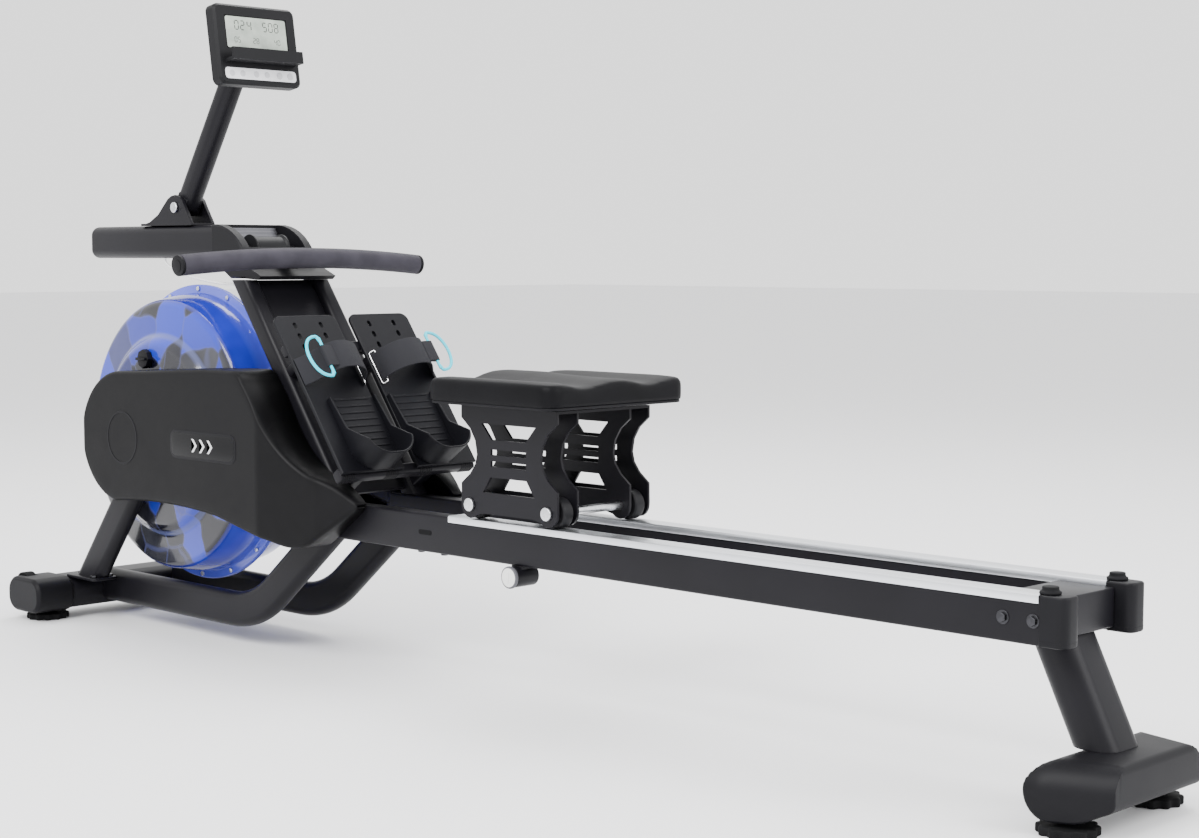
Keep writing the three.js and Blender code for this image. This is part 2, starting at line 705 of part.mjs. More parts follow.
function paddleWheel() {
  const shaft = cylinderY(SHAFT_RADIUS, 0, 0, -SHAFT_HALF, SHAFT_HALF, 20);
  const hub = cylinderY(34, 0, 0, -PADDLE_HALF, PADDLE_HALF, 16);
  const blades = [];
  for (let i = 0; i < PADDLE_BLADES; i++) {
    const blade = box(20, PADDLE_RADIUS, -PADDLE_HALF + 4, PADDLE_HALF - 4, -2, 2);
    blades.push(blade.rotateY((2 * Math.PI * i) / PADDLE_BLADES + 0.3));
  }
  return join(shaft, hub, ...blades).translate([TANK_X, 0, TANK_Z]);
}

/** Strap drum on the right end of the paddle shaft. */
function drivePulley() {
  const profile = [
    [SHAFT_RADIUS + RUN_GAP, DRUM_INNER_Y],
    [DRUM_RADIUS + 4, DRUM_INNER_Y],
    [DRUM_RADIUS + 4, DRUM_INNER_Y + 2],
    [DRUM_RADIUS, DRUM_INNER_Y + 2],
    [DRUM_RADIUS, DRUM_OUTER_Y - 2],
    [DRUM_RADIUS + 4, DRUM_OUTER_Y - 2],
    [DRUM_RADIUS + 4, DRUM_OUTER_Y],
    [SHAFT_RADIUS + RUN_GAP, DRUM_OUTER_Y],
  ];
  return lathe(profile, 20).translate(TANK_X, 0, TANK_Z);
}

/** Side view of a cover, drawn smaller by the given inset for its hollow. */
function shroudShape(inset) {
  const [noseX, noseZ] = SHROUD_NOSE;
  const r = SHROUD_NOSE_RADIUS - inset;
  const i = inset;
  const shape = new THREE.Shape();
  shape.moveTo(noseX, noseZ + r);
  shape.absarc(noseX, noseZ, r, Math.PI / 2, 1.45 * Math.PI);
  shape.quadraticCurveTo(-1720, 247 + i, -1560, 229 + i);
  shape.lineTo(-1420, 200 + i);
  shape.quadraticCurveTo(-1368, 184 + i, -1340, 206 + i);
  shape.lineTo(-1262 - 1.6 * i, 264);
  shape.lineTo(-1262 - 1.6 * i, 270 - i);
  shape.quadraticCurveTo(-1300, 301 - i, -1345 - i, 311 - i);
  shape.quadraticCurveTo(-1402 - i, 336 - i, -1440 - i, 395);
  shape.quadraticCurveTo(-1466 - i, 440, -1497 - i, 471 - i);
  shape.lineTo(-1600, 470 - i);
  return shape;
}

/** Cover over the tank side: a hollow casing, open to the machine, that tapers in to the rail at its rear. */
function shroud() {
  const nearTank = box(-2100, TANK_X + TANK_FLANGE_RADIUS + 4, 80, TANK_HUB_Y + 3, 100, 600);
  const outer = sidePlate(shroudShape(0), BEAM_Y + BEAM_WIDTH / 2 + 2, SHROUD_OUTER_Y, SHROUD_EDGE, 5);
  const hollow = sidePlate(shroudShape(SHROUD_WALL), 60, SHROUD_OUTER_Y - SHROUD_WALL, SHROUD_EDGE - 2, 5);
  const wedge = (grow) => {
    const start = SHROUD_OUTER_Y + grow;
    return planPlate(
      polygon([
        [-1440, start],
        [-1330, start - 30],
        [-1240, start - 66],
        [-1240, 260],
        [-1440, 260],
      ]),
      100,
      600,
    );
  };
  const shell = cut(cut(outer, wedge(0)), cut(hollow, wedge(-SHROUD_WALL)), nearTank);
  const face = SHROUD_OUTER_Y;
  const ring = lathe(
    [
      [43, face - 1.2],
      [46, face - 1.2],
      [46, face + 4],
      [43, face + 4],
    ],
    36,
  ).translate(TANK_X, 0, TANK_Z);
  const badge = sidePlate(roundRect(BADGE_LENGTH, BADGE_HEIGHT, 16), face - 1, face + 4).translate(BADGE_X, 0, TANK_Z);
  const passage = uprightRun(roundRect(BEAM_HEIGHT + 2, BEAM_WIDTH + 2, 15));
  return cut(shell, ring, badge, passage);
}

function buildTank() {
  const plugBore = cylinderY(PLUG_RADIUS - 5.5, PLUG_X, PLUG_Z, -TANK_HUB_Y - 3, -TANK_HUB_Y + 9, 20);
  for (const [side, s] of SIDES) {
    const shell = s < 0 ? cut(mirrored(tankShell()), plugBore) : tankShell();
    add(`tank_shell_${side}`, shell, TANK_BLUE);
    add(`shroud_${side}`, s < 0 ? mirrored(shroud()) : shroud(), BLACK_PLASTIC);
  }
  add("fill_plug", fillPlug(), RUBBER);
  add("paddle_wheel", paddleWheel(), WHITE_PLASTIC);
  add("drive_pulley", drivePulley(), BLACK_PLASTIC);
}

// ---- boom, head, mast and console ---------------------------------------------------------------------------

function boom() {
  const size = 2 * BOOM_HALF;
  const tube = alongX(tubeSection(size, size, 16, BOOM_WALL), BOOM_FRONT + 30, BOOM_REAR);
  const dome = alongX(roundRect(size, size, 16), BOOM_FRONT, BOOM_FRONT + 44, 12);
  const back = box(BOOM_FRONT + 32, BOOM_FRONT + 60, -BOOM_HALF, BOOM_HALF, -BOOM_HALF, BOOM_HALF);
  return join(tube, cut(dome, back)).translate([0, 0, BOOM_Z]);
}

function headSide() {
  const top = BOOM_Z + BOOM_HALF;
  const bottom = BOOM_Z - BOOM_HALF;
  const shape = new THREE.Shape();
  shape.moveTo(BOOM_REAR + GAP, bottom);
  shape.lineTo(-1660, 630);
  shape.lineTo(-1640, 618);
  shape.lineTo(HEAD_REAR - 4, 618);
  shape.lineTo(HEAD_REAR, 628);
  shape.quadraticCurveTo(-1606, 700, -1680, top);
  shape.lineTo(BOOM_REAR + GAP, top);
  return shape;
}

/** Head of the machine: widens from the boom to two curved cheeks round the strap roller, with the handle rest. */
function headHousing() {
  const block = sidePlate(headSide(), -HEAD_HALF, HEAD_HALF, 3, 9);
  const plan = planPlate(
    polygon([
      [BOOM_REAR, -BOOM_HALF],
      [-1722, -BOOM_HALF - 6],
      [-1690, -HEAD_HALF],
      [HEAD_REAR + 20, -HEAD_HALF],
      [HEAD_REAR + 20, HEAD_HALF],
      [-1690, HEAD_HALF],
      [-1722, BOOM_HALF + 6],
      [BOOM_REAR, BOOM_HALF],
    ]),
    500,
    800,
  );
  const inside = HEAD_HALF - HEAD_CHEEK;
  const well = box(-1690, -1606, -inside, inside, 640, 800);
  const mouth = box(-1650, HEAD_REAR + 30, -STRAP_WIDTH / 2 - 6, STRAP_WIDTH / 2 + 6, 634, 662);
  const pinHalf = inside + 6;
  const pin = cylinderY(5, HEAD_ROLLER_X, HEAD_ROLLER_Z, -pinHalf, pinHalf, 16);
  const rest = sidePlate(
    polygon([
      [-1592, 618],
      [-1556, 616],
      [-1548, 622],
      [-1562, 628],
      [-1592, 640],
    ]),
    -HEAD_HALF - 3,
    HEAD_HALF + 3,
  );
  return join(cut(common(block, plan), well, mouth), pin, cut(rest, mouth));
}

function headRoller() {
  const profile = [
    [5 + RUN_GAP, -HEAD_ROLLER_HALF],
    [HEAD_ROLLER_RADIUS + 4, -HEAD_ROLLER_HALF],
    [HEAD_ROLLER_RADIUS + 4, -HEAD_ROLLER_HALF + 3],
    [HEAD_ROLLER_RADIUS, -HEAD_ROLLER_HALF + 6],
    [HEAD_ROLLER_RADIUS, HEAD_ROLLER_HALF - 6],
    [HEAD_ROLLER_RADIUS + 4, HEAD_ROLLER_HALF - 3],
    [HEAD_ROLLER_RADIUS + 4, HEAD_ROLLER_HALF],
    [5 + RUN_GAP, HEAD_ROLLER_HALF],
  ];
  return lathe(profile, 20).translate(HEAD_ROLLER_X, 0, HEAD_ROLLER_Z);
}

/** Two ears on the boom that hold the foot of the mast. */
function mastBracket() {
  const seat = BOOM_Z + BOOM_HALF + GAP;
  const inner = MAST_WIDTH / 2 + EAR_GAP;
  const outer = inner + EAR_THICKNESS;
  const ear = new THREE.Shape();
  ear.moveTo(MAST_HINGE_X - 112, seat);
  ear.quadraticCurveTo(MAST_HINGE_X - 62, seat + 6, MAST_HINGE_X - 34, seat + 38);
  ear.quadraticCurveTo(MAST_HINGE_X - 20, seat + 54, MAST_HINGE_X, seat + 54);
  ear.quadraticCurveTo(MAST_HINGE_X + 20, seat + 52, MAST_HINGE_X + 27, seat + 34);
  ear.lineTo(MAST_HINGE_X + 48, seat + 4);
  ear.lineTo(MAST_HINGE_X + 48, seat);
  const leftEar = sidePlate(ear, -outer, -inner);
  const rightEar = sidePlate(ear, inner, outer);
  const base = box(MAST_HINGE_X - 110, MAST_HINGE_X + 48, -outer, outer, seat, seat + 4);
  return join(leftEar, rightEar, base);
}

/** Oval console mast, drawn along its own length from the hinge, with a round boss at both ends. */
function mast() {
  const section = tubeSection(MAST_DEPTH, MAST_WIDTH, 16, 2);
  const ends = [new THREE.Vector3(0, 0, 6), new THREE.Vector3(0, 0, MAST_LENGTH - 6)];
  const tube = sweepStations(ends, section, 3);
  const half = MAST_WIDTH / 2;
  const bottom = cylinderY(HINGE_BOSS, 0, 0, -half, half, 24);
  const top = cylinderY(HINGE_BOSS - 2, 0, MAST_LENGTH, -half, half, 24);
  const foot = box(-HINGE_BOSS, HINGE_BOSS, -half, half, 0, 24);
  const head = box(-HINGE_BOSS + 2, HINGE_BOSS - 2, -half, half, MAST_LENGTH - 22, MAST_LENGTH);
  return join(tube, bottom, top, foot, head);
}

/** Where the console's own (depth, height) coordinates, counted from the middle of its face, lie in the machine. */
function consolePoint(depth, up) {
  const c = Math.cos(CONSOLE_LEAN);
  const s = Math.sin(CONSOLE_LEAN);
  return [CONSOLE_X + depth * c - up * s, CONSOLE_Z + depth * s + up * c];
}

/** The same for the top hinge of the mast, seen from the console. */
function mastTopInConsole() {
  const x = MAST_HINGE_X + MAST_LENGTH * Math.sin(MAST_LEAN) - CONSOLE_X;
  const z = MAST_HINGE_Z + MAST_LENGTH * Math.cos(MAST_LEAN) - CONSOLE_Z;
  const c = Math.cos(CONSOLE_LEAN);
  const s = Math.sin(CONSOLE_LEAN);
  return [x * c + z * s, -x * s + z * c];
}

/** Console casing with its device ledge, key wells and two lugs for the mast; local x is depth, z is height. */
function consoleBody() {
  const slab = alongX(roundRect(CONSOLE_WIDTH, CONSOLE_HEIGHT, 12), -CONSOLE_DEPTH, 0, 4, 4);
  const ledge = box(-4, 26, -72, 72, -32, -27);
  const lip = box(22, 27, -72, 72, -32, -12);
  const screen = box(-1.5, 5, -64, 64, -8, 49);
  const [hingeX, hingeZ] = mastTopInConsole();
  const lug = (low, high) => {
    const eye = cylinderY(HINGE_BOSS, hingeX, hingeZ, low, high, 24);
    const web = box(hingeX, -CONSOLE_DEPTH + 2, low, high, hingeZ - 13, hingeZ + 13);
    return join(eye, web);
  };
  const inner = MAST_WIDTH / 2 + EAR_GAP;
  const outer = inner + EAR_THICKNESS;
  const wells = KEY_YS.map((y) => keyShape(KEY_RADIUS + 0.4, -KEY_TRAVEL - 3, 4).translate(0, y, 0));
  return cut(join(cut(slab, screen), ledge, lip, lug(-outer, -inner), lug(inner, outer)), ...wells);
}

/** A round key seen face on, from one depth to another, at the height of the key strip. */
function keyShape(radius, low, high) {
  const disc = new THREE.CylinderGeometry(radius, radius, high - low, 20).rotateZ(Math.PI / 2);
  return disc.translate((low + high) / 2, 0, -50);
}

function buildHead() {
  add("boom", boom(), BLACK_PAINT);
  add("head_housing", headHousing(), BLACK_PLASTIC);
  add("head_roller", headRoller(), BLACK_PLASTIC);
  add("mast_bracket", mastBracket(), BLACK_PAINT);
  const mastMesh = add("mast", mast(), BLACK_PAINT);
  mastMesh.position.set(MAST_HINGE_X, 0, MAST_HINGE_Z);
  mastMesh.rotation.y = MAST_LEAN;
  const consoleGroup = new THREE.Group();
  const [x, z] = consolePoint(0, 0);
  consoleGroup.position.set(x, 0, z);
  consoleGroup.rotation.y = -CONSOLE_LEAN;
  machine.add(consoleGroup);
  add("console_body", consoleBody(), BLACK_PLASTIC, consoleGroup);
  ["key_up", "key_down"].forEach((name, i) => {
    const key = add(name, keyShape(KEY_RADIUS, -1.5, 1.6), KEY_GREY, consoleGroup);
    key.position.y = KEY_YS[i];
  });
}

// ---- handle, strap and cable --------------------------------------------------------------------------------

/** Points along the bowed handle between two y values. */
function handleLine(from, to, steps) {
  const points = [];
  for (let i = 0; i <= steps; i++) {
    const y = from + ((to - from) * i) / steps;
    const rise = HANDLE_BOW * (1 - (y / HANDLE_HALF) ** 2);
    points.push(new THREE.Vector3(HANDLE_X, y, HANDLE_Z + rise));
  }
  return points;
}

function circle(radius, hole = 0) {
  const shape = new THREE.Shape().absarc(0, 0, radius, 0, 2 * Math.PI);
  if (hole) shape.holes.push(new THREE.Path().absarc(0, 0, hole, 0, 2 * Math.PI));
  return shape;
}

function buildHandle() {
  const inner = HANDLE_HALF - HANDLE_CAP;
  const bar = sweepStations(handleLine(-inner - 2, inner + 2, 8), circle(HANDLE_BAR_RADIUS), 6, UPWARD);
  const caps = SIDES.map(([, s]) => {
    const line = handleLine(s * (inner + GAP), s * HANDLE_HALF, 1);
    return sweepStations(line, circle(HANDLE_RADIUS), 8, UPWARD);
  });
  add("handle_bar", join(bar, ...caps), BLACK_PLASTIC);
  const sleeve = circle(HANDLE_RADIUS, HANDLE_BAR_RADIUS + GAP);
  const foam = sweepStations(handleLine(-inner, inner, 8), sleeve, 8, UPWARD);
  add("handle_foam", foam, FOAM);
  const strapZ = HANDLE_Z + HANDLE_BOW;
  const near = HANDLE_X - HANDLE_RADIUS - GAP;
  const far = HEAD_ROLLER_X + HEAD_ROLLER_RADIUS + 6;
  const strap = box(far, near, -STRAP_WIDTH / 2, STRAP_WIDTH / 2, strapZ - 1.5, strapZ - 1.5 + STRAP_THICKNESS);
  add("drive_strap", strap, WEBBING);
}

/** Thin signal cable that hangs from under the boom and enters the foot frame. */
function buildCable() {
  const route = [
    [-1921, -15, 650.6],
    [-1921, -15, 646],
    [-1916, -15, 641],
    [-1904, -16, 636],
    [-1886, -18, 631],
    [-1864, -21, 626],
    [-1840, -24, 621.5],
    [-1815, -27, 617.5],
    [-1790, -30, 614.5],
    [-1764, -34, 612],
    [-1738, -38, 610],
    [-1712, -42, 608.5],
    [-1688, -45, 607.8],
    [-1664, -47, 607.6],
    [-1644, -48, 607.6],
    [-1626, -48, 607.6],
    [-1600, -48, 607.6],
  ];
  const stations = route.map((p) => new THREE.Vector3(...p));
  const section = new THREE.Shape(circle(2).getPoints(2).slice(0, 8));
  add("sensor_cable", sweepStations(stations, section), RUBBER);
}

// ---- foot frame, pedals and straps --------------------------------------------------------------------------

/** A group whose local x runs up the slope, y across, and z out towards the rower. */
function inclineGroup() {
  const up = new THREE.Vector3(-Math.cos(INCLINE), 0, Math.sin(INCLINE));
  const out = new THREE.Vector3(Math.sin(INCLINE), 0, Math.cos(INCLINE));
  const across = new THREE.Vector3().crossVectors(out, up);
  const group = new THREE.Group();
  group.matrix.makeBasis(up, across, out).setPosition(INCLINE_FOOT[0], 0, INCLINE_FOOT[1]);
  group.matrix.decompose(group.position, group.quaternion, group.scale);
  machine.add(group);
  return group;
}

/** Side beams with the panel between them, and the arms and bars that carry the pedals. */
function inclineFrame() {
  const inner = BEAM_Y - BEAM_WIDTH / 2;
  const outer = BEAM_Y + BEAM_WIDTH / 2;
  const pieces = [box(-10, INCLINE_TOP, -inner - 1, inner + 1, -6, 0)];
  for (const [, s] of SIDES) {
    const middle = (INCLINE_FRONT + INCLINE_BACK) / 2;
    const section = roundRect(BEAM_WIDTH, INCLINE_BACK - INCLINE_FRONT, 9);
    pieces.push(alongX(section, -60, INCLINE_TOP).translate(0, s * BEAM_Y, middle));
    for (const at of [FOOT_BAR_LOW + 14, FOOT_BAR_HIGH]) {
      const y0 = s < 0 ? -outer : inner;
      pieces.push(box(at - 9, at + 9, y0 + 4, y0 + BEAM_WIDTH - 4, 0, ARM_TOP + 2));
    }
  }
  const barTop = PEDAL_FACE - PEDAL_THICKNESS - GAP;
  for (const at of [FOOT_BAR_LOW, FOOT_BAR_HIGH]) {
    const half = at < 0 ? FOOT_BAR_HALF : PEDAL_OUTER - 8;
    const bar = roundRect(2 * half, FOOT_BAR_DEPTH, 5);
    pieces.push(alongX(bar, at - 10, at + 10, 2, 3).translate(0, 0, barTop - FOOT_BAR_DEPTH / 2));
  }
  return join(...pieces);
}

/** A level slab of the machine, from one height to another, seen in the slope's own frame. */
function levelSlab(low, high) {
  const middle = (low + high) / 2 - INCLINE_FOOT[1];
  const slab = new THREE.BoxGeometry(900, 400, high - low).translate(0, 0, middle);
  const slopeFrame = new THREE.Matrix4().makeBasis(
    new THREE.Vector3(-Math.cos(INCLINE), 0, Math.sin(INCLINE)),
    new THREE.Vector3(0, -1, 0),
    new THREE.Vector3(Math.sin(INCLINE), 0, Math.cos(INCLINE)),
  );
  return slab.applyMatrix4(slopeFrame.invert());
}

function footplate() {
  const width = PEDAL_OUTER - PEDAL_INNER;
  const middle = (PEDAL_OUTER + PEDAL_INNER) / 2;
  const shape = new THREE.Shape();
  const half = width / 2;
  shape.moveTo(PEDAL_LOW, -half);
  shape.lineTo(PEDAL_TOP - 14, -half);
  shape.absarc(PEDAL_TOP - 14, -half + 14, 14, -Math.PI / 2, 0);
  shape.absarc(PEDAL_TOP - 14, half - 14, 14, 0, Math.PI / 2);
  shape.lineTo(PEDAL_LOW, half);
  const plate = planPlate(shape, PEDAL_FACE - PEDAL_THICKNESS, PEDAL_FACE, 1.2, 4);
  const holes = [];
  for (const row of [0, 1, 2, 3]) {
    for (const y of [-26, 26]) {
      const slot = roundRect(12, 7, 3.4);
      holes.push(planPlate(slot, 60, 130, 0, 1).translate(PEDAL_TOP - 20 - 21 * row, y, 0));
    }
  }
  return cut(plate, ...holes).translate([0, middle, 0]);
}

/** Heel cup: floor, side walls and rounded back that slide along the pedal. */
function heelCup() {
  const half = (HEEL_OUTER - PEDAL_INNER) / 2;
  const outline = (grow) => {
    const h = half - grow;
    const r = h * 0.82;
    const low = PEDAL_LOW + grow;
    const shape = new THREE.Shape();
    shape.moveTo(HEEL_TOP + grow, h);
    shape.lineTo(low + r, h);
    shape.absarc(low + r, h - r, r, Math.PI / 2, Math.PI);
    shape.absarc(low + r, -h + r, r, Math.PI, 1.5 * Math.PI);
    shape.lineTo(HEEL_TOP + grow, -h);
    return shape;
  };
  const base = PEDAL_FACE + GAP;
  const block = planPlate(outline(0), base, base + HEEL_DEPTH, 0, 6);
  const hollow = planPlate(outline(HEEL_WALL), base + HEEL_WALL, base + 120, 0, 6);
  return cut(block, hollow, wedgeAbove(base)).translate([0, (HEEL_OUTER + PEDAL_INNER) / 2, 0]);
}

/** What is cut off the heel cup: its side walls run down from the heel towards the toe. */
function wedgeAbove(base) {
  const shape = polygon([
    [PEDAL_LOW + 30, base + HEEL_DEPTH],
    [PEDAL_LOW + 70, base + 16],
    [HEEL_TOP + 20, base + 8],
    [HEEL_TOP + 20, base + 90],
    [PEDAL_LOW + 30, base + 90],
  ]);
  return sidePlate(shape, -120, 120);
}

/** Outline of the shoe strap across the foot, in (y, height) above the pedal. */
function strapArch(offset) {
  const inner = PEDAL_INNER + 5 - offset;
  const outer = PEDAL_OUTER - 1 + offset;
  const base = PEDAL_FACE + GAP;
  const crown = base + SHOE_STRAP_RISE + offset;
  const curve = new THREE.CatmullRomCurve3(
    [
      new THREE.Vector3(inner, base, 0),
      new THREE.Vector3(inner + 4, base + 22, 0),
      new THREE.Vector3(inner + 20, crown - 12, 0),
      new THREE.Vector3(inner + 46, crown, 0),
      new THREE.Vector3(outer - 50, crown - 2, 0),
      new THREE.Vector3(outer - 37, crown - 12, 0),
      new THREE.Vector3(outer - 25, crown - 28, 0),
      new THREE.Vector3(outer - 11, base + 9, 0),
      new THREE.Vector3(outer, base, 0),
    ],
    false,
    "centripetal",
  );
  return curve.getPoints(20).map((p) => [p.x, p.y]);
}

function shoeStrap() {
  const outline = [...strapArch(0), ...strapArch(-SHOE_STRAP_THICKNESS).reverse()];
  return alongX(polygon(outline), SHOE_STRAP_LOW, SHOE_STRAP_LOW + SHOE_STRAP_WIDTH);
}

/** Pull ring: a bent rod that stands out sideways from the strap's outer edge. */
function pullRing() {
  const y = RING_HINGE_Y;
  const z = PEDAL_FACE + SHOE_STRAP_RISE - 8;
  const half = SHOE_STRAP_WIDTH / 2 + 12;
  const middle = SHOE_STRAP_LOW + SHOE_STRAP_WIDTH / 2;
  const stations = [];
  const steps = 16;
  for (let i = 0; i <= steps; i++) {
    const angle = Math.PI * (i / steps);
    const x = middle - half * Math.cos(angle);
    stations.push(new THREE.Vector3(x, y + 4 + 30 * Math.sin(angle) ** 0.8, z));
  }
  stations.unshift(new THREE.Vector3(middle - half + 10, y, z));
  stations.push(new THREE.Vector3(middle + half - 10, y, z));
  return sweepStations(stations, circle(RING_RADIUS), 3, UPWARD);
}

function buildFeet() {
  const slope = inclineGroup();
  const belowRails = levelSlab(RAIL_TOP + GAP - 300, RAIL_TOP + GAP);
  const aboveTop = levelSlab(INCLINE_TOP_Z, INCLINE_TOP_Z + 300);
  add("incline_frame", cut(inclineFrame(), belowRails, aboveTop), BLACK_PAINT, slope);
  for (const [side, s] of SIDES) {
    // local y points to the machine's -Y side here, so the left foot takes the unmirrored shapes
    const flip = (shape) => (s < 0 ? asSolid(shape) : mirrored(shape));
    add(`footplate_${side}`, flip(footplate()), BLACK_PLASTIC, slope);
    add(`heel_cup_${side}`, flip(heelCup()), BLACK_PLASTIC, slope);
    add(`foot_strap_${side}`, flip(shoeStrap()), WEBBING, slope);
    add(`pull_ring_${side}`, flip(pullRing()), CYAN, slope);
  }
}

// ---- seat ---------------------------------------------------------------------------------------------------

/** Section of the seat across the machine: upright sides, a hollow in each half and a ridge between them. */
function seatSection() {
  const corner = 10;
  const dip = SEAT_CROWN - 2 * SEAT_HOLLOW; // the curve's own control point lies twice as deep as the hollow
  const shape = new THREE.Shape();
  shape.moveTo(-SEAT_HALF + corner, SEAT_BOTTOM);
  shape.lineTo(SEAT_HALF - corner, SEAT_BOTTOM);
  shape.quadraticCurveTo(SEAT_HALF, SEAT_BOTTOM, SEAT_HALF, SEAT_BOTTOM + corner);
  shape.lineTo(SEAT_HALF, SEAT_CROWN - corner);
  shape.quadraticCurveTo(SEAT_HALF, SEAT_CROWN, SEAT_HALF - corner, SEAT_CROWN);
  shape.quadraticCurveTo(SEAT_HALF / 2, dip, 0, SEAT_CROWN);
  shape.quadraticCurveTo(-SEAT_HALF / 2, dip, -SEAT_HALF + corner, SEAT_CROWN);
  shape.quadraticCurveTo(-SEAT_HALF, SEAT_CROWN, -SEAT_HALF, SEAT_CROWN - corner);
  shape.lineTo(-SEAT_HALF, SEAT_BOTTOM + corner);
  shape.quadraticCurveTo(-SEAT_HALF, SEAT_BOTTOM, -SEAT_HALF + corner, SEAT_BOTTOM);
  return shape;
}

/** Bow-tie side plate of the seat carriage with its windows and axle eyes. */
function carriagePlate(y0, y1) {
  const middle = (AXLE_FRONT_X + AXLE_REAR_X) / 2;
  const half = 101;
  const waist = 67;
  const eye = 22;
  const reach = (AXLE_REAR_X - AXLE_FRONT_X) / 2;
  const low = AXLE_Z - 11;
  const shape = new THREE.Shape();
  shape.moveTo(middle - half, CARRIAGE_TOP);
  shape.lineTo(middle - half, CARRIAGE_TOP - 18);
  shape.quadraticCurveTo(middle - waist, 398, middle - waist, 366);
  shape.quadraticCurveTo(middle - waist, 344, middle - half, 322);
  shape.lineTo(middle - reach - eye + 2, AXLE_Z);
  shape.absarc(middle - reach, AXLE_Z, eye - 2, Math.PI, 1.75 * Math.PI);
  shape.lineTo(middle - reach + eye + 6, low);
  shape.lineTo(middle + reach - eye - 6, low);
  shape.absarc(middle + reach, AXLE_Z, eye - 2, 1.25 * Math.PI, 2 * Math.PI);
  shape.lineTo(middle + half, 322);
  shape.quadraticCurveTo(middle + waist, 344, middle + waist, 366);
  shape.quadraticCurveTo(middle + waist, 398, middle + half, CARRIAGE_TOP - 18);
  shape.lineTo(middle + half, CARRIAGE_TOP);
  const windows = [
    [
      [-57, 412],
      [-36, 389],
      [36, 389],
      [57, 412],
    ],
    [
      [-37, 375],
      [-37, 367],
      [37, 367],
      [37, 375],
    ],
    [
      [-37, 358],
      [-37, 350],
      [37, 350],
      [37, 358],
    ],
    [
      [-38, 334],
      [-54, 311],
      [54, 311],
      [38, 334],
    ],
  ];
  for (const corners of windows) {
    shape.holes.push(polygon(corners.map(([x, z]) => [middle + x, z])));
  }
  return sidePlate(shape, y0, y1, 0, 3);
}

/** Welded seat carriage: two outer and two inner plates under one top plate. */
function seatCarriage() {
  const outer = CARRIAGE_PLATE_Y + CARRIAGE_PLATE;
  const plates = [];
  for (const [, s] of SIDES) {
    const plate = carriagePlate(CARRIAGE_PLATE_Y, outer);
    const inside = carriagePlate(CARRIAGE_INNER_Y, CARRIAGE_INNER_Y + CARRIAGE_PLATE);
    plates.push(s < 0 ? mirrored(plate) : plate);
    plates.push(s < 0 ? mirrored(inside) : inside);
  }
  const middle = (AXLE_FRONT_X + AXLE_REAR_X) / 2;
  const top = box(middle - 101, middle + 101, -outer, outer, CARRIAGE_TOP - 4, CARRIAGE_TOP);
  const bores = [AXLE_FRONT_X, AXLE_REAR_X].map((x) => cylinderY(AXLE_RADIUS + GAP, x, AXLE_Z, -120, 120, 20));
  return cut(join(...plates, top), ...bores);
}

function roller() {
  const half = ROLLER_WIDTH / 2;
  const bore = AXLE_RADIUS + RUN_GAP;
  const profile = [
    [bore, -half],
    [ROLLER_RADIUS - 2, -half],
    [ROLLER_RADIUS, -half + 2],
    [ROLLER_RADIUS, half - 2],
    [ROLLER_RADIUS - 2, half],
    [bore, half],
  ];
  return lathe(profile, 24);
}

function buildSeat() {
  add("seat_pad", alongX(seatSection(), SEAT_FRONT, SEAT_REAR, 7, 4), SEAT_SKIN);
  add("seat_carriage", seatCarriage(), BLACK_PAINT);
  const axleHalf = CARRIAGE_PLATE_Y + CARRIAGE_PLATE + GAP;
  for (const [place, x] of [
    ["front", AXLE_FRONT_X],
    ["rear", AXLE_REAR_X],
  ]) {
    const rod = cylinderY(AXLE_RADIUS, x, AXLE_Z, -axleHalf - 1, axleHalf + 1, 20);
    const heads = SIDES.map(([, s]) => {
      const from = Math.min(s * axleHalf, s * (axleHalf + 5));
      return cylinderY(10, x, AXLE_Z, from, from + 5, 20);
    });
    add(`axle_${place}`, join(rod, ...heads), STEEL);
    for (const [side, s] of SIDES) {
      const wheel = roller().translate(x, s * BEAM_Y, AXLE_Z);
      add(`roller_${place}_${side}`, wheel, BLACK_PLASTIC);
    }
  }
}

buildRails();
buildFrontFrame();
buildTank();
buildHead();
buildHandle();
buildCable();
buildFeet();
buildSeat();

// The origin is on the floor in the middle of the machine's length.
const extent = new THREE.Box3().setFromObject(machine);
machine.position.x = -(extent.min.x + extent.max.x) / 2;

export default root;
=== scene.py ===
# %% [markdown]
# # A water rowing machine, piece by piece
# The engineering model gives every tube, plate and joint of the machine as plain faceted solids, in
# metres, with +X towards the rower, +Z up, and the floor at zero. This lesson keeps those places and
# makes the visible surfaces again: smooth tubes, soft edges, a padded seat, a blue tank, and a finish for
# every material.

# %% Load the machine
import math

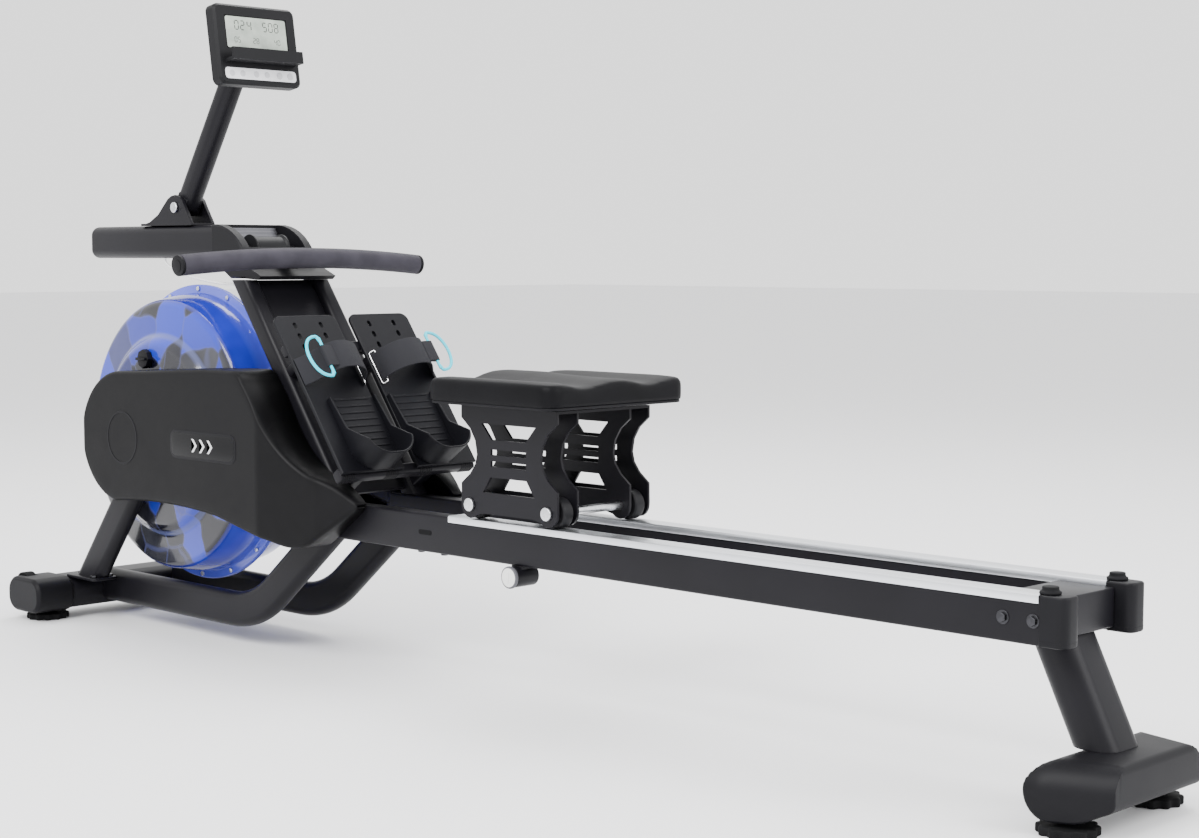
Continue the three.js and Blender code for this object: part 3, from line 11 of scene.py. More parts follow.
import bmesh
import bpy
import numpy as np
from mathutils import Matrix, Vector


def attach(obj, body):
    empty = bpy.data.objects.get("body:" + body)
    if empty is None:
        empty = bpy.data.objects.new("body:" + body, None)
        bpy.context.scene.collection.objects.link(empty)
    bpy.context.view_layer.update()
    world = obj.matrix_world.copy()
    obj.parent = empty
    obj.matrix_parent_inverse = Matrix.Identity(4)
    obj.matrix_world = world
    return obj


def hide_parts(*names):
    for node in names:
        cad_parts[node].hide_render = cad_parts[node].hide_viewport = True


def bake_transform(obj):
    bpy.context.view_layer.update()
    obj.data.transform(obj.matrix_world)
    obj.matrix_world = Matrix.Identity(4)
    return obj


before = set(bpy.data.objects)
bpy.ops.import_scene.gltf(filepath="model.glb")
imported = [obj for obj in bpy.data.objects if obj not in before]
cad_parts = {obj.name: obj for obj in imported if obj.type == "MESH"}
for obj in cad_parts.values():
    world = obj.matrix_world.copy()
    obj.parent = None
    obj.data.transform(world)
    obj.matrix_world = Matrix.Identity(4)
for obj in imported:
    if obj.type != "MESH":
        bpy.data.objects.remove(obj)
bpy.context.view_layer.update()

SIDES = (("left", -1), ("right", 1))

# %% [markdown]
# The camera comes first, because everything after it is judged through it. It stands beside the rear foot
# and looks along the rails to the tank: 44.5 degrees round from the side, and a little above the level. A
# 61.6 mm lens on a 36 mm sensor keeps the long rails from stretching.

# %% Camera
AZIMUTH = math.radians(44.511)
ELEVATION = math.radians(4.585)
camera_data = bpy.data.cameras.new("camera")
camera_data.sensor_width = 36
camera_data.lens = 61.57
camera_data.clip_end = 60
camera = bpy.data.objects.new("camera", camera_data)
away = Vector((math.sin(AZIMUTH) * math.cos(ELEVATION), -math.cos(AZIMUTH) * math.cos(ELEVATION),
               math.sin(ELEVATION)))
camera.location = (2.2707, -2.1038, 0.6578)
camera.rotation_euler = away.to_track_quat("Z", "Y").to_euler()
bpy.context.scene.collection.objects.link(camera)
bpy.context.scene.camera = camera
print("camera looks along", np.round(-away, 3))

# %% [markdown]
# The signal cable is a thin, fairly stiff lead that drops out of the boom and runs back into the foot
# frame. Both ends are held, so its length is what it measures, with a little sag. A curve with a round
# bevel is the natural way: Blender keeps its length exact, and its points are the route that the
# engineering model uses.

# %% Signal cable
CABLE_ROUTE = [
    (-0.877, -0.015, 0.6506), (-0.877, -0.015, 0.646), (-0.872, -0.015, 0.641), (-0.860, -0.016, 0.636),
    (-0.842, -0.018, 0.631), (-0.820, -0.021, 0.626), (-0.796, -0.024, 0.6215), (-0.771, -0.027, 0.6175),
    (-0.746, -0.030, 0.6145), (-0.720, -0.034, 0.612), (-0.694, -0.038, 0.610), (-0.668, -0.042, 0.6085),
    (-0.644, -0.045, 0.6078), (-0.620, -0.047, 0.6076), (-0.600, -0.048, 0.6076), (-0.582, -0.048, 0.6076),
    (-0.556, -0.048, 0.6076),
]
CABLE_DIAMETER = 0.004
cable_curve = bpy.data.curves.new("signal_cable", "CURVE")
cable_curve.dimensions = "3D"
cable_curve.bevel_depth = CABLE_DIAMETER / 2
cable_curve.bevel_resolution = 4
cable_curve.use_fill_caps = True
cable_line = cable_curve.splines.new("POLY")
cable_line.points.add(len(CABLE_ROUTE) - 1)
cable_line.points.foreach_set("co", np.c_[CABLE_ROUTE, np.ones(len(CABLE_ROUTE))].ravel())
cable_line.use_smooth = True
signal_cable = bpy.data.objects.new("signal_cable", cable_curve)
bpy.context.scene.collection.objects.link(signal_cable)
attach(signal_cable, "frame")
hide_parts("sensor_cable")

# %% [markdown]
# ## Tools for shapes
# Nearly every part of this machine is one of three things: a section carried along a line (tubes, beams,
# grips), a profile turned about an axis (wheels, bolts, tank), or a flat outline given a thickness with
# soft edges (plates, caps, feet). Each is a grid of points worked out in one go with numpy, and a shell
# is simply the pair (points, faces), so shells can be joined before they become one mesh.

# %% Grids of faces
def grid_faces(rows, columns, wrap_rows=False, wrap_columns=True):
    """Quad (i, j) joins points (i, j), (i, j+1), (i+1, j+1), (i+1, j), where point (i, j) has index
    i*columns + j."""
    i = np.arange(rows if wrap_rows else rows - 1)[:, None]
    j = np.arange(columns if wrap_columns else columns - 1)[None, :]
    beside = (j + 1) % columns
    above = (i + 1) % rows * columns
    corners = np.broadcast_arrays(i * columns + j, i * columns + beside, above + beside, above + j)
    return np.stack(corners, -1).reshape(-1, 4).tolist()


def joined(*shells):
    """Several shells as one: each shell's face numbers are raised by the count of points before it."""
    points, faces, before = [], [], 0
    for shell_points, shell_faces in shells:
        points.append(shell_points)
        faces += [[k + before for k in face] for face in shell_faces]
        before += len(shell_points)
    return np.concatenate(points), faces


def mirrored(shell):
    """The same shell on the other side of the machine: y becomes -y."""
    return shell[0] * (1, -1, 1), shell[1]


def for_side(shell, side):
    return shell if side > 0 else mirrored(shell)


# %% Outlines
def rounded_rect(width, height, radius, steps=7):
    """Four arcs: corner centre (+-(w/2-r), +-(h/2-r)) plus r*(cos a, sin a), as a runs once round the
    circle."""
    quarter = np.linspace(0, math.pi / 2, steps)
    turn = (quarter[None, :] + np.arange(4)[:, None] * math.pi / 2).ravel()
    sign_x = np.repeat([1, -1, -1, 1], steps)
    sign_y = np.repeat([1, 1, -1, -1], steps)
    x = sign_x * (width / 2 - radius) + radius * np.cos(turn)
    y = sign_y * (height / 2 - radius) + radius * np.sin(turn)
    return np.stack([x, y], -1)


def circle(radius, steps=24):
    """r*(cos a, sin a)."""
    turn = np.arange(steps) * 2 * math.pi / steps
    return radius * np.stack([np.cos(turn), np.sin(turn)], -1)


def softened(corners, radius, closed=True, steps=5):
    """Each corner P becomes (1-t)^2*A + 2t(1-t)*P + t^2*B, where A and B lie a radius before and after
    it."""
    corners = np.array(corners, float)
    before = np.roll(corners, 1, 0) - corners
    after = np.roll(corners, -1, 0) - corners
    radii = np.broadcast_to(np.asarray(radius, float), len(corners)).copy()
    if not closed:
        radii[[0, -1]] = 0
    length = lambda v: np.maximum(np.linalg.norm(v, axis=1, keepdims=True), 1e-9)
    reach = np.minimum(radii[:, None], 0.49 * np.minimum(length(before), length(after)))
    a = corners + before / length(before) * reach
    b = corners + after / length(after) * reach
    t = np.linspace(0, 1, steps)[None, :, None]
    bends = (1 - t) ** 2 * a[:, None] + 2 * t * (1 - t) * corners[:, None] + t**2 * b[:, None]
    flat = bends.reshape(-1, corners.shape[1])
    keep = np.r_[True, np.linalg.norm(np.diff(flat, axis=0), axis=1) > 1e-7]
    return flat[keep]


def even_spacing(line, count, closed=True):
    """The line again with its points at equal distances along it, found by interpolating on arc length."""
    line = np.array(line, float)
    if closed:
        line = np.vstack([line, line[:1]])
    along = np.r_[0, np.cumsum(np.linalg.norm(np.diff(line, axis=0), axis=1))]
    at = np.linspace(0, along[-1], count, endpoint=not closed)
    return np.stack([np.interp(at, along, line[:, k]) for k in range(line.shape[1])], -1)


def shrunk(outline, distance):
    """Each point moved inwards by the distance, along the mean of the two edge normals beside it."""
    ahead = np.roll(outline, -1, 0) - outline
    ahead /= np.maximum(np.linalg.norm(ahead, axis=1, keepdims=True), 1e-9)
    normal = np.stack([ahead[:, 1], -ahead[:, 0]], -1)
    mean = normal + np.roll(normal, 1, 0)
    mean /= np.maximum((mean**2).sum(1, keepdims=True) / 2, 0.25)
    area = 0.5 * np.sum(outline[:, 0] * np.roll(outline[:, 1], -1) - np.roll(outline[:, 0], -1)
                        * outline[:, 1])
    return outline - mean * distance * np.sign(area)


# %% Sections carried along a line
def carried(path, section, across=(0, 1, 0), closed=False, capped=True):
    """Point (i, j) = path_i + section_j.x * n_i + section_j.y * b_i, where n = across x tangent and b
    = tangent x n."""
    path = np.array(path, float)
    if closed:
        tangent = np.roll(path, -1, 0) - np.roll(path, 1, 0)
    else:
        tangent = np.gradient(path, axis=0)
    tangent /= np.linalg.norm(tangent, axis=1, keepdims=True)
    normal = np.cross(np.array(across, float), tangent)
    normal /= np.linalg.norm(normal, axis=1, keepdims=True)
    beside = np.cross(tangent, normal)
    section = np.broadcast_to(section, (len(path),) + np.shape(section)[-2:])
    points = path[:, None] + section[..., :1] * normal[:, None] + section[..., 1:] * beside[:, None]
    rows, columns = points.shape[:2]
    faces = grid_faces(rows, columns, wrap_rows=closed)
    if capped and not closed:
        faces.append(list(range(columns))[::-1])
        faces.append(list(range((rows - 1) * columns, rows * columns)))
    return points.reshape(-1, 3), faces


def soft_ended(path, section, edge, steps=4):
    """Rounds both ends: at angle a the ring is shrunk by e(1-sin a) and stands e(1-cos a) inside the
    end."""
    path = np.array(path, float)
    turn = np.linspace(0, math.pi / 2, steps + 1)
    start, end = path[1] - path[0], path[-2] - path[-1]
    start /= np.linalg.norm(start)
    end /= np.linalg.norm(end)
    head = path[0] + start * (edge * (1 - np.cos(turn)))[:, None]
    tail = path[-1] + end * (edge * (1 - np.cos(turn[::-1])))[:, None]
    rings = [shrunk(section, edge * (1 - math.sin(a))) for a in turn]
    sections = np.array(rings + [section] * (len(path) - 2) + rings[::-1])
    return np.vstack([head, path[1:-1], tail]), sections


def bent_line(corners, radius, steps=14):
    """Straight runs joined by soft bends, with each bend a quadratic curve over the given length."""
    return softened(corners, radius, closed=False, steps=steps)


# %% Profiles turned about an axis
def turned(profile, centre, axis="y", sides=72):
    """Point (i, j) = centre + axis * profile_i.height + radius_i * (u cos a_j + w sin a_j)."""
    profile = np.array(profile, float)
    ways = {"x": ((1, 0, 0), (0, 1, 0), (0, 0, 1)), "y": ((0, 1, 0), (0, 0, 1), (1, 0, 0)),
            "z": ((0, 0, 1), (1, 0, 0), (0, 1, 0))}
    along, u, w = (np.array(v, float) for v in (ways[axis] if isinstance(axis, str) else axis))
    turn = np.arange(sides) * 2 * math.pi / sides
    round_ = np.cos(turn)[:, None] * u + np.sin(turn)[:, None] * w
    points = np.array(centre) + profile[:, None, 1:] * along + profile[:, None, :1] * round_[None]
    return points.reshape(-1, 3), grid_faces(len(profile), sides)


def soft_profile(corners, radius, steps=4):
    """A turned part's [radius, height] corners, open at both ends on the axis, with the bends softened."""
    return softened(corners, radius, closed=False, steps=steps)


# %% Plates with soft edges
LYING = lambda a, b, c: np.stack([a, b, c], -1)
STANDING = lambda a, b, c: np.stack([a, c, b], -1)


def plate(outline, low, high, edge, place=STANDING, steps=4):
    """Rings of the outline: at angle a a ring is shrunk by e(1-sin a) and stands e(1-cos a) inside the
    face."""
    turn = np.linspace(0, math.pi / 2, steps + 1)
    inset = edge * (1 - np.sin(turn))
    depth = edge * (1 - np.cos(turn))
    insets = np.r_[inset, inset[::-1]]
    heights = np.r_[low + depth, high - depth[::-1]]
    rings = np.array([shrunk(outline, d) for d in insets])
    points = place(rings[..., 0], rings[..., 1], np.broadcast_to(heights[:, None], rings.shape[:2]))
    rows, columns = rings.shape[:2]
    faces = grid_faces(rows, columns)
    faces += [list(range(columns))[::-1], list(range((rows - 1) * columns, rows * columns))]
    return points.reshape(-1, 3), faces


# %% [markdown]
# ## From shell to piece
# A shell becomes a Blender object here. Doubled points at seams and poles are merged and the faces turned
# outwards, then the mesh is shaded smooth except where two faces meet at more than 32 degrees. The object
# stays at the origin, so that Object coordinates in a material are simply metres in the machine. Some
# engineering solids already have the right outline and many cut-outs: those are copied, cleaned and given
# soft edges with a Bevel modifier.

# %% Pieces
SHARP = math.radians(32)
shown_faces = 0


def cleaned(mesh, merge=1e-6, outwards=True):
    """Merges points closer than the given distance, turns the faces outwards, and marks the sharp edges."""
    work = bmesh.new()
    work.from_mesh(mesh)
    bmesh.ops.remove_doubles(work, verts=work.verts, dist=merge)
    if outwards:
        bmesh.ops.recalc_face_normals(work, faces=work.faces)
    work.to_mesh(mesh)
    work.free()
    mesh.polygons.foreach_set("use_smooth", np.ones(len(mesh.polygons), bool))
    mesh.set_sharp_from_angle(angle=SHARP)
    mesh.update()
    return mesh


def dressed(obj, body, slot, finish, *nodes):
    """Puts a finish on an object, lets it ride on its body, and hides the engineering solids it stands
    for."""
    global shown_faces
    obj.data.materials.clear()
    obj.data.materials.append(finish)
    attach(obj, body)
    if nodes:
        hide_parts(*nodes)
    shown_faces += len(obj.data.polygons)
    return obj


def piece(name, shell, body, slot, finish, *nodes, uv=None):
    """A mesh object from a shell; uv, when given, is one (u, v) for each point."""
    points, faces = shell
    mesh = bpy.data.meshes.new(name)
    mesh.from_pydata(np.asarray(points).tolist(), [], faces)
    if uv is not None:
        layer = mesh.uv_layers.new(name="along")
        corner = np.empty(len(mesh.loops), np.int32)
        mesh.loops.foreach_get("vertex_index", corner)
        layer.data.foreach_set("uv", np.asarray(uv, float)[corner].ravel())
    obj = bpy.data.objects.new(name, cleaned(mesh))
    bpy.context.scene.collection.objects.link(obj)
    return dressed(obj, body, slot, finish, *nodes)


def soft_edges(obj, width, segments=2):
    """A Bevel modifier on every edge sharper than 32 degrees."""
    bevel = obj.modifiers.new("soft_edges", "BEVEL")
    bevel.width = width
    bevel.segments = segments
    bevel.limit_method = "ANGLE"
    bevel.angle_limit = SHARP
    bevel.use_clamp_overlap = True
    bevel.harden_normals = False
    return obj


def from_solid(name, node, body, slot, finish, edge):
    """The engineering solid copied, its loose triangles merged into flat faces, and its edges softened."""
    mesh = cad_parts[node].data.copy()
    mesh.name = name
    work = bmesh.new()
    work.from_mesh(mesh)
    bmesh.ops.remove_doubles(work, verts=work.verts, dist=2e-6)
    flat = math.radians(0.6)
    bmesh.ops.dissolve_limit(work, angle_limit=flat, verts=work.verts, edges=work.edges)
    work.to_mesh(mesh)
    work.free()
    obj = bpy.data.objects.new(name, cleaned(mesh, 2e-6, outwards=False))
    bpy.context.scene.collection.objects.link(obj)
    dressed(obj, body, slot, finish, node)
    return soft_edges(obj, edge) if edge else obj


# %% [markdown]
# ## Tools for finishes
# Every finish is one Principled shader with a few procedural nodes that vary its colour, roughness and
# bump. Wrapping a socket in a small class lets shader maths be written as Python: `grain * 0.2 + 0.4`
# adds two Math nodes. Anything else comes from one method that takes the node's kind, its settings and
# its inputs.

# %% Shader maths
class Signal:
    """One output socket of a material; +, -, * and / on it add Math nodes."""

    def __init__(self, finish, socket):
        self.finish = finish
        self.socket = socket

    def _math(self, operation, first, second):
        return self.finish.node("Math", {"operation": operation}, {0: first, 1: second})

    def __add__(self, other):
        return self._math("ADD", self, other)

    def __sub__(self, other):
        return self._math("SUBTRACT", self, other)

    def __rsub__(self, other):
        return self._math("SUBTRACT", other, self)

    def __mul__(self, other):
        return self._math("MULTIPLY", self, other)

    def __truediv__(self, other):
        return self._math("DIVIDE", self, other)

    def __pow__(self, other):
        return self._math("POWER", self, other)

    def above(self, edge, softness):
        """0 below the edge, 1 above edge + softness, and a ramp between."""
        scaled = (self - edge) * (1 / softness)
        return self._math("MINIMUM", self._math("MAXIMUM", scaled, 0.0), 1.0)

    __radd__ = __add__
    __rmul__ = __mul__


class Finish:
    """A material with one Principled shader; the constants are set on the shader's own sockets."""

    def __init__(self, name, colour, roughness, metallic=0.0, **constants):
        self.material = bpy.data.materials.new(name)
        self.material.use_nodes = True
        self.tree = self.material.node_tree
        self.shader = self.tree.nodes["Principled BSDF"]
        self.set("Base Color", (*colour, 1.0))
        self.set("Roughness", roughness)
        self.set("Metallic", metallic)
        for key, value in constants.items():
            self.set(key.replace("_", " "), value)

    def feed(self, socket, value):
        if isinstance(value, Signal):
            self.tree.links.new(value.socket, socket)
        else:
            socket.default_value = value

    def set(self, name, value):
        self.feed(self.shader.inputs[name], value)

    def node(self, kind, settings=None, values=None, output=0):
        """Adds a node of the kind, applies its settings first, then feeds its sockets, and returns one
        output."""
        made = self.tree.nodes.new("ShaderNode" + kind)
        for key, value in (settings or {}).items():
            setattr(made, key, value)
        for key, value in (values or {}).items():
            self.feed(made.inputs[key], value)
        return Signal(self, made.outputs[output])

    def place(self, scale=(1, 1, 1), turn=(0, 0, 0), shift=(0, 0, 0), source="Object"):
        """Object coordinates, in metres, turned and scaled by a Mapping node."""
        spot = self.node("TexCoord", output=source)
        return self.node("Mapping", {}, {"Vector": spot, "Location": shift, "Rotation": turn,
                                         "Scale": scale})

    def noise(self, where, scale, detail=2.0, rough=0.5, distortion=0.0):
        return self.node("TexNoise", {}, {"Vector": where, "Scale": scale, "Detail": detail,
                                          "Roughness": rough,
                                          "Distortion": distortion})

    def mix(self, first, second, factor):
        """A colour between two colours."""
        made = self.tree.nodes.new("ShaderNodeMix")
        made.data_type = "RGBA"
        self.feed(made.inputs[0], factor)
        for socket, value in ((made.inputs[6], first), (made.inputs[7], second)):
            self.feed(socket, value if isinstance(value, Signal) else (*value, 1.0))
        return Signal(self, made.outputs[2])

    def bump(self, height, distance, strength=1.0):
        """A Bump node of that height in metres on the shader's Normal."""
        self.set("Normal", self.node("Bump", {}, {"Height": height, "Distance": distance,
                                                  "Strength": strength}))


# %% [markdown]
# ## The finishes
# Powder coat is the finish of all the steel: near-black with a violet cast, satin, with a very fine
# orange peel. Moulded plastic is the same colour but duller, with a spark-eroded grain. The big side
# covers are plainer still, and faintly mottled. Aluminium is drawn out along the rails, so its grain is
# stretched a hundredfold that way.

# %% Coated steel and plain plastics
def powder_coat(name, colour, roughness):
    coat = Finish(name, colour, roughness, Specular_IOR_Level=0.15)
    cloud = coat.noise(coat.place(), 7.0, 3.0)
    peel = coat.noise(coat.place(), 900.0, 2.0)
    coat.set("Base Color", coat.mix(colour, tuple(1.45 * c for c in colour), cloud.above(0.35, 0.4)))
    coat.set("Roughness", cloud * 0.12 + (roughness - 0.06))
    coat.bump(peel, 0.00012, 0.5)
    return coat.material


def moulded(name, colour, roughness, grain_size=0.0011, depth=0.00010, lift=1.35):
    """Spark-eroded plastic: fine cells a millimetre across over a slow cloud that shifts colour and
    gloss."""
    part = Finish(name, colour, roughness, Specular_IOR_Level=0.13)
    cloud = part.noise(part.place(), 11.0, 3.0)
    cells = part.node("TexVoronoi", {"feature": "SMOOTH_F1"},
                      {"Vector": part.place(), "Scale": 1 / grain_size,
                                                              "Smoothness": 0.6})
    part.set("Base Color", part.mix(colour, tuple(lift * c for c in colour), cloud.above(0.3, 0.45)))
    part.set("Roughness", cloud * 0.14 + (roughness - 0.07))
    part.bump(cells, depth, 0.6)
    return part.material


def mottled_cover(name, colour, roughness):
    """Two clouds, one of hand size and one of finger size, both barely lighter than the ground colour."""
    cover = Finish(name, colour, roughness, Specular_IOR_Level=0.11)
    broad = cover.noise(cover.place(), 9.0, 4.0, 0.6, 0.4)
    small = cover.noise(cover.place(shift=(3, 1, 2)), 42.0, 3.0, 0.6)
    blend = broad.above(0.38, 0.3) * 0.65 + small.above(0.45, 0.3) * 0.35
    cover.set("Base Color", cover.mix(colour, tuple(1.75 * c for c in colour), blend))
    cover.set("Roughness", blend * 0.16 + (roughness - 0.08))
    cover.bump(cover.noise(cover.place(), 1300.0, 2.0), 0.00014, 0.6)
    return cover.material


def rubber(name, colour, roughness=0.78):
    part = Finish(name, colour, roughness, Specular_IOR_Level=0.12)
    dust = part.noise(part.place(), 30.0, 4.0, 0.65)
    part.set("Base Color", part.mix(colour, tuple(1.9 * c + 0.002 for c in colour), dust.above(0.5, 0.35)))
    part.set("Roughness", dust * 0.2 + (roughness - 0.1))
    part.bump(part.noise(part.place(), 700.0, 2.0), 0.00016, 0.6)
    return part.material


STEEL_BLACK = (0.0051, 0.0048, 0.0065)
frame_coat = powder_coat("frame_powder_coat", STEEL_BLACK, 0.40)
frame_plastic = moulded("moulded_black", (0.0042, 0.0041, 0.0053), 0.48)
pedal_plastic = moulded("pedal_black", (0.0032, 0.0032, 0.0046), 0.46, 0.0018, 0.00012)
cover_plastic = mottled_cover("side_cover_black", (0.0029, 0.0028, 0.0033), 0.50)
roller_plastic = moulded("roller_black", (0.008, 0.008, 0.009), 0.42, 0.0008, 0.00005)
foot_rubber = rubber("foot_rubber", (0.0045, 0.0045, 0.005))
stop_rubber = rubber("stop_rubber", (0.005, 0.005, 0.006), 0.7)
# Near-black and rough: painted shade for the inside of the rails' adjusting slots.
slot_shade_painted = moulded("slot_shade_painted", (0.003, 0.003, 0.0035), 0.8, 0.002, 0.00002)
print("plain finishes", [m.name for m in bpy.data.materials])

# %% Metals
def drawn_metal(name, colour, roughness, along, streak=0.18):
    """Noise squeezed a hundredfold across the drawing direction makes long fine streaks in roughness
    and bump."""
    metal = Finish(name, colour, roughness, 1.0)
    scale = tuple(4.0 if k == along else 900.0 for k in range(3))
    streaks = metal.noise(metal.place(scale), 1.0, 3.0, 0.6)
    wear = metal.noise(metal.place((3, 60, 60)), 1.0, 4.0, 0.6)
    metal.set("Roughness", streaks * streak + wear * 0.10 + (roughness - 0.5 * streak - 0.05))
    metal.set("Base Color", metal.mix(tuple(0.86 * c for c in colour), colour, wear.above(0.3, 0.4)))
    metal.bump(streaks, 0.00003, 0.5)
    return metal.material


def plated(name, colour, roughness):
    """Zinc plate: small crystals change the gloss from patch to patch."""
    metal = Finish(name, colour, roughness, 1.0)
    crystal = metal.node("TexVoronoi", {}, {"Vector": metal.place(), "Scale": 700.0}, output="Color")
    spread = metal.noise(metal.place(), 260.0, 3.0)
    metal.set("Roughness", spread * 0.2 + (roughness - 0.1))
    metal.set("Base Color", metal.mix(colour, tuple(0.8 * c for c in colour), spread.above(0.4, 0.3)))
    metal.bump(metal.node("SeparateColor", {}, {"Color": crystal}), 0.00003, 0.4)
    return metal.material


track_metal = drawn_metal("track_aluminium", (0.80, 0.82, 0.86), 0.30, 0)
zinc = plated("zinc_plate", (0.70, 0.71, 0.73), 0.30)
black_screw = plated("blackened_screw", (0.05, 0.05, 0.055), 0.35)
bright_wire = plated("bright_wire", (0.86, 0.86, 0.87), 0.22)


# %% [markdown]
# ## Rails
# The two rails are plain rectangular steel tube, 60 by 30 mm, sawn to length and powder coated. Each is
# one rounded rectangle carried along X. The left one also carries a small welded pad that holds the seat
# lock. The other tubes of the machine, which are oval, come from the same two functions with a larger
# corner radius.

# %% Rails and running tracks
BEAM_Y = 0.0738
RAIL_FRONT, RAIL_REAR = -0.341, 0.998
RAIL_BOTTOM, RAIL_TOP = 0.208, 0.2662
RAIL_MIDDLE = (RAIL_BOTTOM + RAIL_TOP) / 2
LOCK_X, LOCK_Z, LOCK_RADIUS = 0.118, 0.192, 0.0155


def bar(start, end, section, edge, across=(0, 1, 0)):
    """A straight piece of section between two points, with both ends softened by the edge radius."""
    start, end = np.array(start, float), np.array(end, float)
    return carried(*soft_ended([start, (start + end) / 2, end], section, edge), across)


def block(low, high, radius, edge):
    """A box between two corners, with upright corners of the radius and softened ends along X."""
    low, high = np.array(low, float), np.array(high, float)
    size, middle = high - low, (low + high) / 2
    section = rounded_rect(size[2], size[1], radius, 4)
    return bar((low[0], middle[1], middle[2]), (high[0], middle[1], middle[2]), section, edge)


def disc(radius, low, high, centre, edge, axis="y", sides=48):
    """A turned disc between two heights along its axis, with rounded rims."""
    corners = [(0, low), (radius, low), (radius, high), (0, high)]
    return turned(soft_profile(corners, edge, 5), centre, axis, sides)


rail_section = rounded_rect(RAIL_TOP - RAIL_BOTTOM, 0.030, 0.004)
for side, s in SIDES:
    shell = bar((RAIL_FRONT, s * BEAM_Y, RAIL_MIDDLE), (RAIL_REAR, s * BEAM_Y, RAIL_MIDDLE), rail_section,
                0.0008)
    if s < 0:
        pad = block((LOCK_X - 0.011, -0.086, LOCK_Z), (LOCK_X + 0.011, -0.062, RAIL_BOTTOM + 0.001), 0.002,
                    0.001)
        barrel = disc(LOCK_RADIUS, -0.0958, -0.0545, (LOCK_X, 0, LOCK_Z), 0.0015)
        shell = joined(shell, pad, barrel)
    piece(f"rail_{side}", shell, "frame", "frame_paint", frame_coat, f"rail_{side}")

# The running strip is a folded aluminium channel: its section is drawn once, with small bends, and
# carried along.
TRACK_FRONT, TRACK_TOP = -0.026, 0.2683
track_corners = [(-0.0171, -0.010), (-0.0153, -0.010), (-0.0153, -0.0018), (0.0153, -0.0018),
                 (0.0153, -0.010),
                 (0.0171, -0.010), (0.0171, 0), (-0.0171, 0)]
track_section = softened(track_corners, [0.0004, 0.0004, 0.0008, 0.0008, 0.0004, 0.0004, 0.0022, 0.0022],
                         steps=4)
for side, s in SIDES:
    line = [(TRACK_FRONT, s * BEAM_Y, TRACK_TOP), (0.4, s * BEAM_Y, TRACK_TOP),
            (0.9976, s * BEAM_Y, TRACK_TOP)]
    shell = carried(line, track_section[:, ::-1] * (-1, 1))
    piece(f"track_{side}", shell, "frame", "track_aluminium", track_metal, f"track_{side}")

# %% [markdown]
# Each rail ends in a moulded plug. Its outside follows the rail and the running strip, and is rounded in
# plan, so it is a flat outline stood on edge. The rubber stop in front of it is what the seat rollers
# would meet.

# %% Rail ends
CAP_HALF = 0.0171
cap_plan = [(RAIL_REAR + 0.0004, -CAP_HALF), (1.034, -CAP_HALF), (1.034, CAP_HALF),
            (RAIL_REAR + 0.0004, CAP_HALF)]
cap_plan = softened(cap_plan, [0.001, 0.013, 0.013, 0.001], steps=9)
STOP_PROFILE = [(0, 0), (0.013, 0), (0.013, 0.003), (0.0098, 0.0046), (0.0098, 0.009), (0, 0.009)]
for side, s in SIDES:
    cap = plate(cap_plan + (0, s * BEAM_Y), RAIL_BOTTOM, TRACK_TOP, 0.003, LYING)
    rim = plate(shrunk(cap_plan, -0.0002) + (0, s * BEAM_Y), RAIL_BOTTOM + 0.006, RAIL_BOTTOM + 0.0072,
                0.0004, LYING)
    piece(f"rail_cap_{side}", joined(cap, rim), "frame", "moulded_black", frame_plastic, f"rail_cap_{side}")
    stop = turned(soft_profile(STOP_PROFILE, 0.0016), (1.003, s * BEAM_Y, TRACK_TOP + 0.0003), "z", 40)
    piece(f"seat_stop_{side}", stop, "frame", "foot_rubber", stop_rubber, f"seat_stop_{side}")

# %% [markdown]
# ## Rear support
# A leg of wide oval tube leans forward from a moulded foot beam to a cross member between the rails. A
# tube that leans has to be cut level where it stands: the end ring is slid along the tube until every
# point is at one height.

# %% Leg, cross member and rear foot
def cut_level(shell, columns, direction, height, first=True):
    """Slides one end ring along the tube: p' = p + d (h - p.z) / d.z."""
    points, faces = shell
    points = points.copy()
    ring = slice(0, columns) if first else slice(len(points) - columns, len(points))
    direction = np.array(direction, float)
    points[ring] += direction * ((height - points[ring, 2:]) / direction[2])
    return points, faces


LEG_SLOPE = math.tan(0.4486)
leg_at = lambda z: (0.970 + LEG_SLOPE * (0.219 - z), 0, z)
leg_way = np.subtract(leg_at(0.2), leg_at(0.1))
leg_section = rounded_rect(0.055, 0.080, 0.025, 12)
leg = cut_level(carried([leg_at(0.086), leg_at(0.15), leg_at(0.236)], leg_section), len(leg_section),
                leg_way, 0.0844)
cross = block((0.932, -0.0563, 0.214), (1.010, 0.0563, 0.262), 0.003, 0.002)
piece("rear_leg", joined(leg, cross), "frame", "frame_paint", frame_coat, "rear_leg")

nose = np.linspace(math.pi / 2, 1.5 * math.pi, 17)
base_nose = np.stack([-0.008 + 0.034 * np.cos(nose), 0.050 + 0.034 * np.sin(nose)], -1)
base_back = softened([(-0.008, 0.016), (0.020, 0.016), (0.062, 0.036), (0.062, 0.084), (-0.008, 0.084)],
                     [0, 0.012, 0.008, 0.010, 0], closed=False)
base_outline = np.vstack([base_nose[1:-1], base_back]) + (1.044, 0)
BASE_HALF, BASE_TOP, SHOULDER, BASE_EDGE = 0.127, 0.084, 0.040, 0.004
edge_turn = np.linspace(math.pi / 2, 0, 6)
end_y = np.r_[BASE_HALF - BASE_EDGE * (1 - np.sin(edge_turn)),
              np.linspace(BASE_HALF - 0.0055, BASE_HALF - SHOULDER, 16)]
end_in = np.r_[BASE_EDGE * (1 - np.cos(edge_turn)), np.zeros(16)]
base_y = np.r_[-end_y, end_y[::-1]]
base_rings = np.array([shrunk(base_outline, d) for d in np.r_[end_in, end_in[::-1]]])
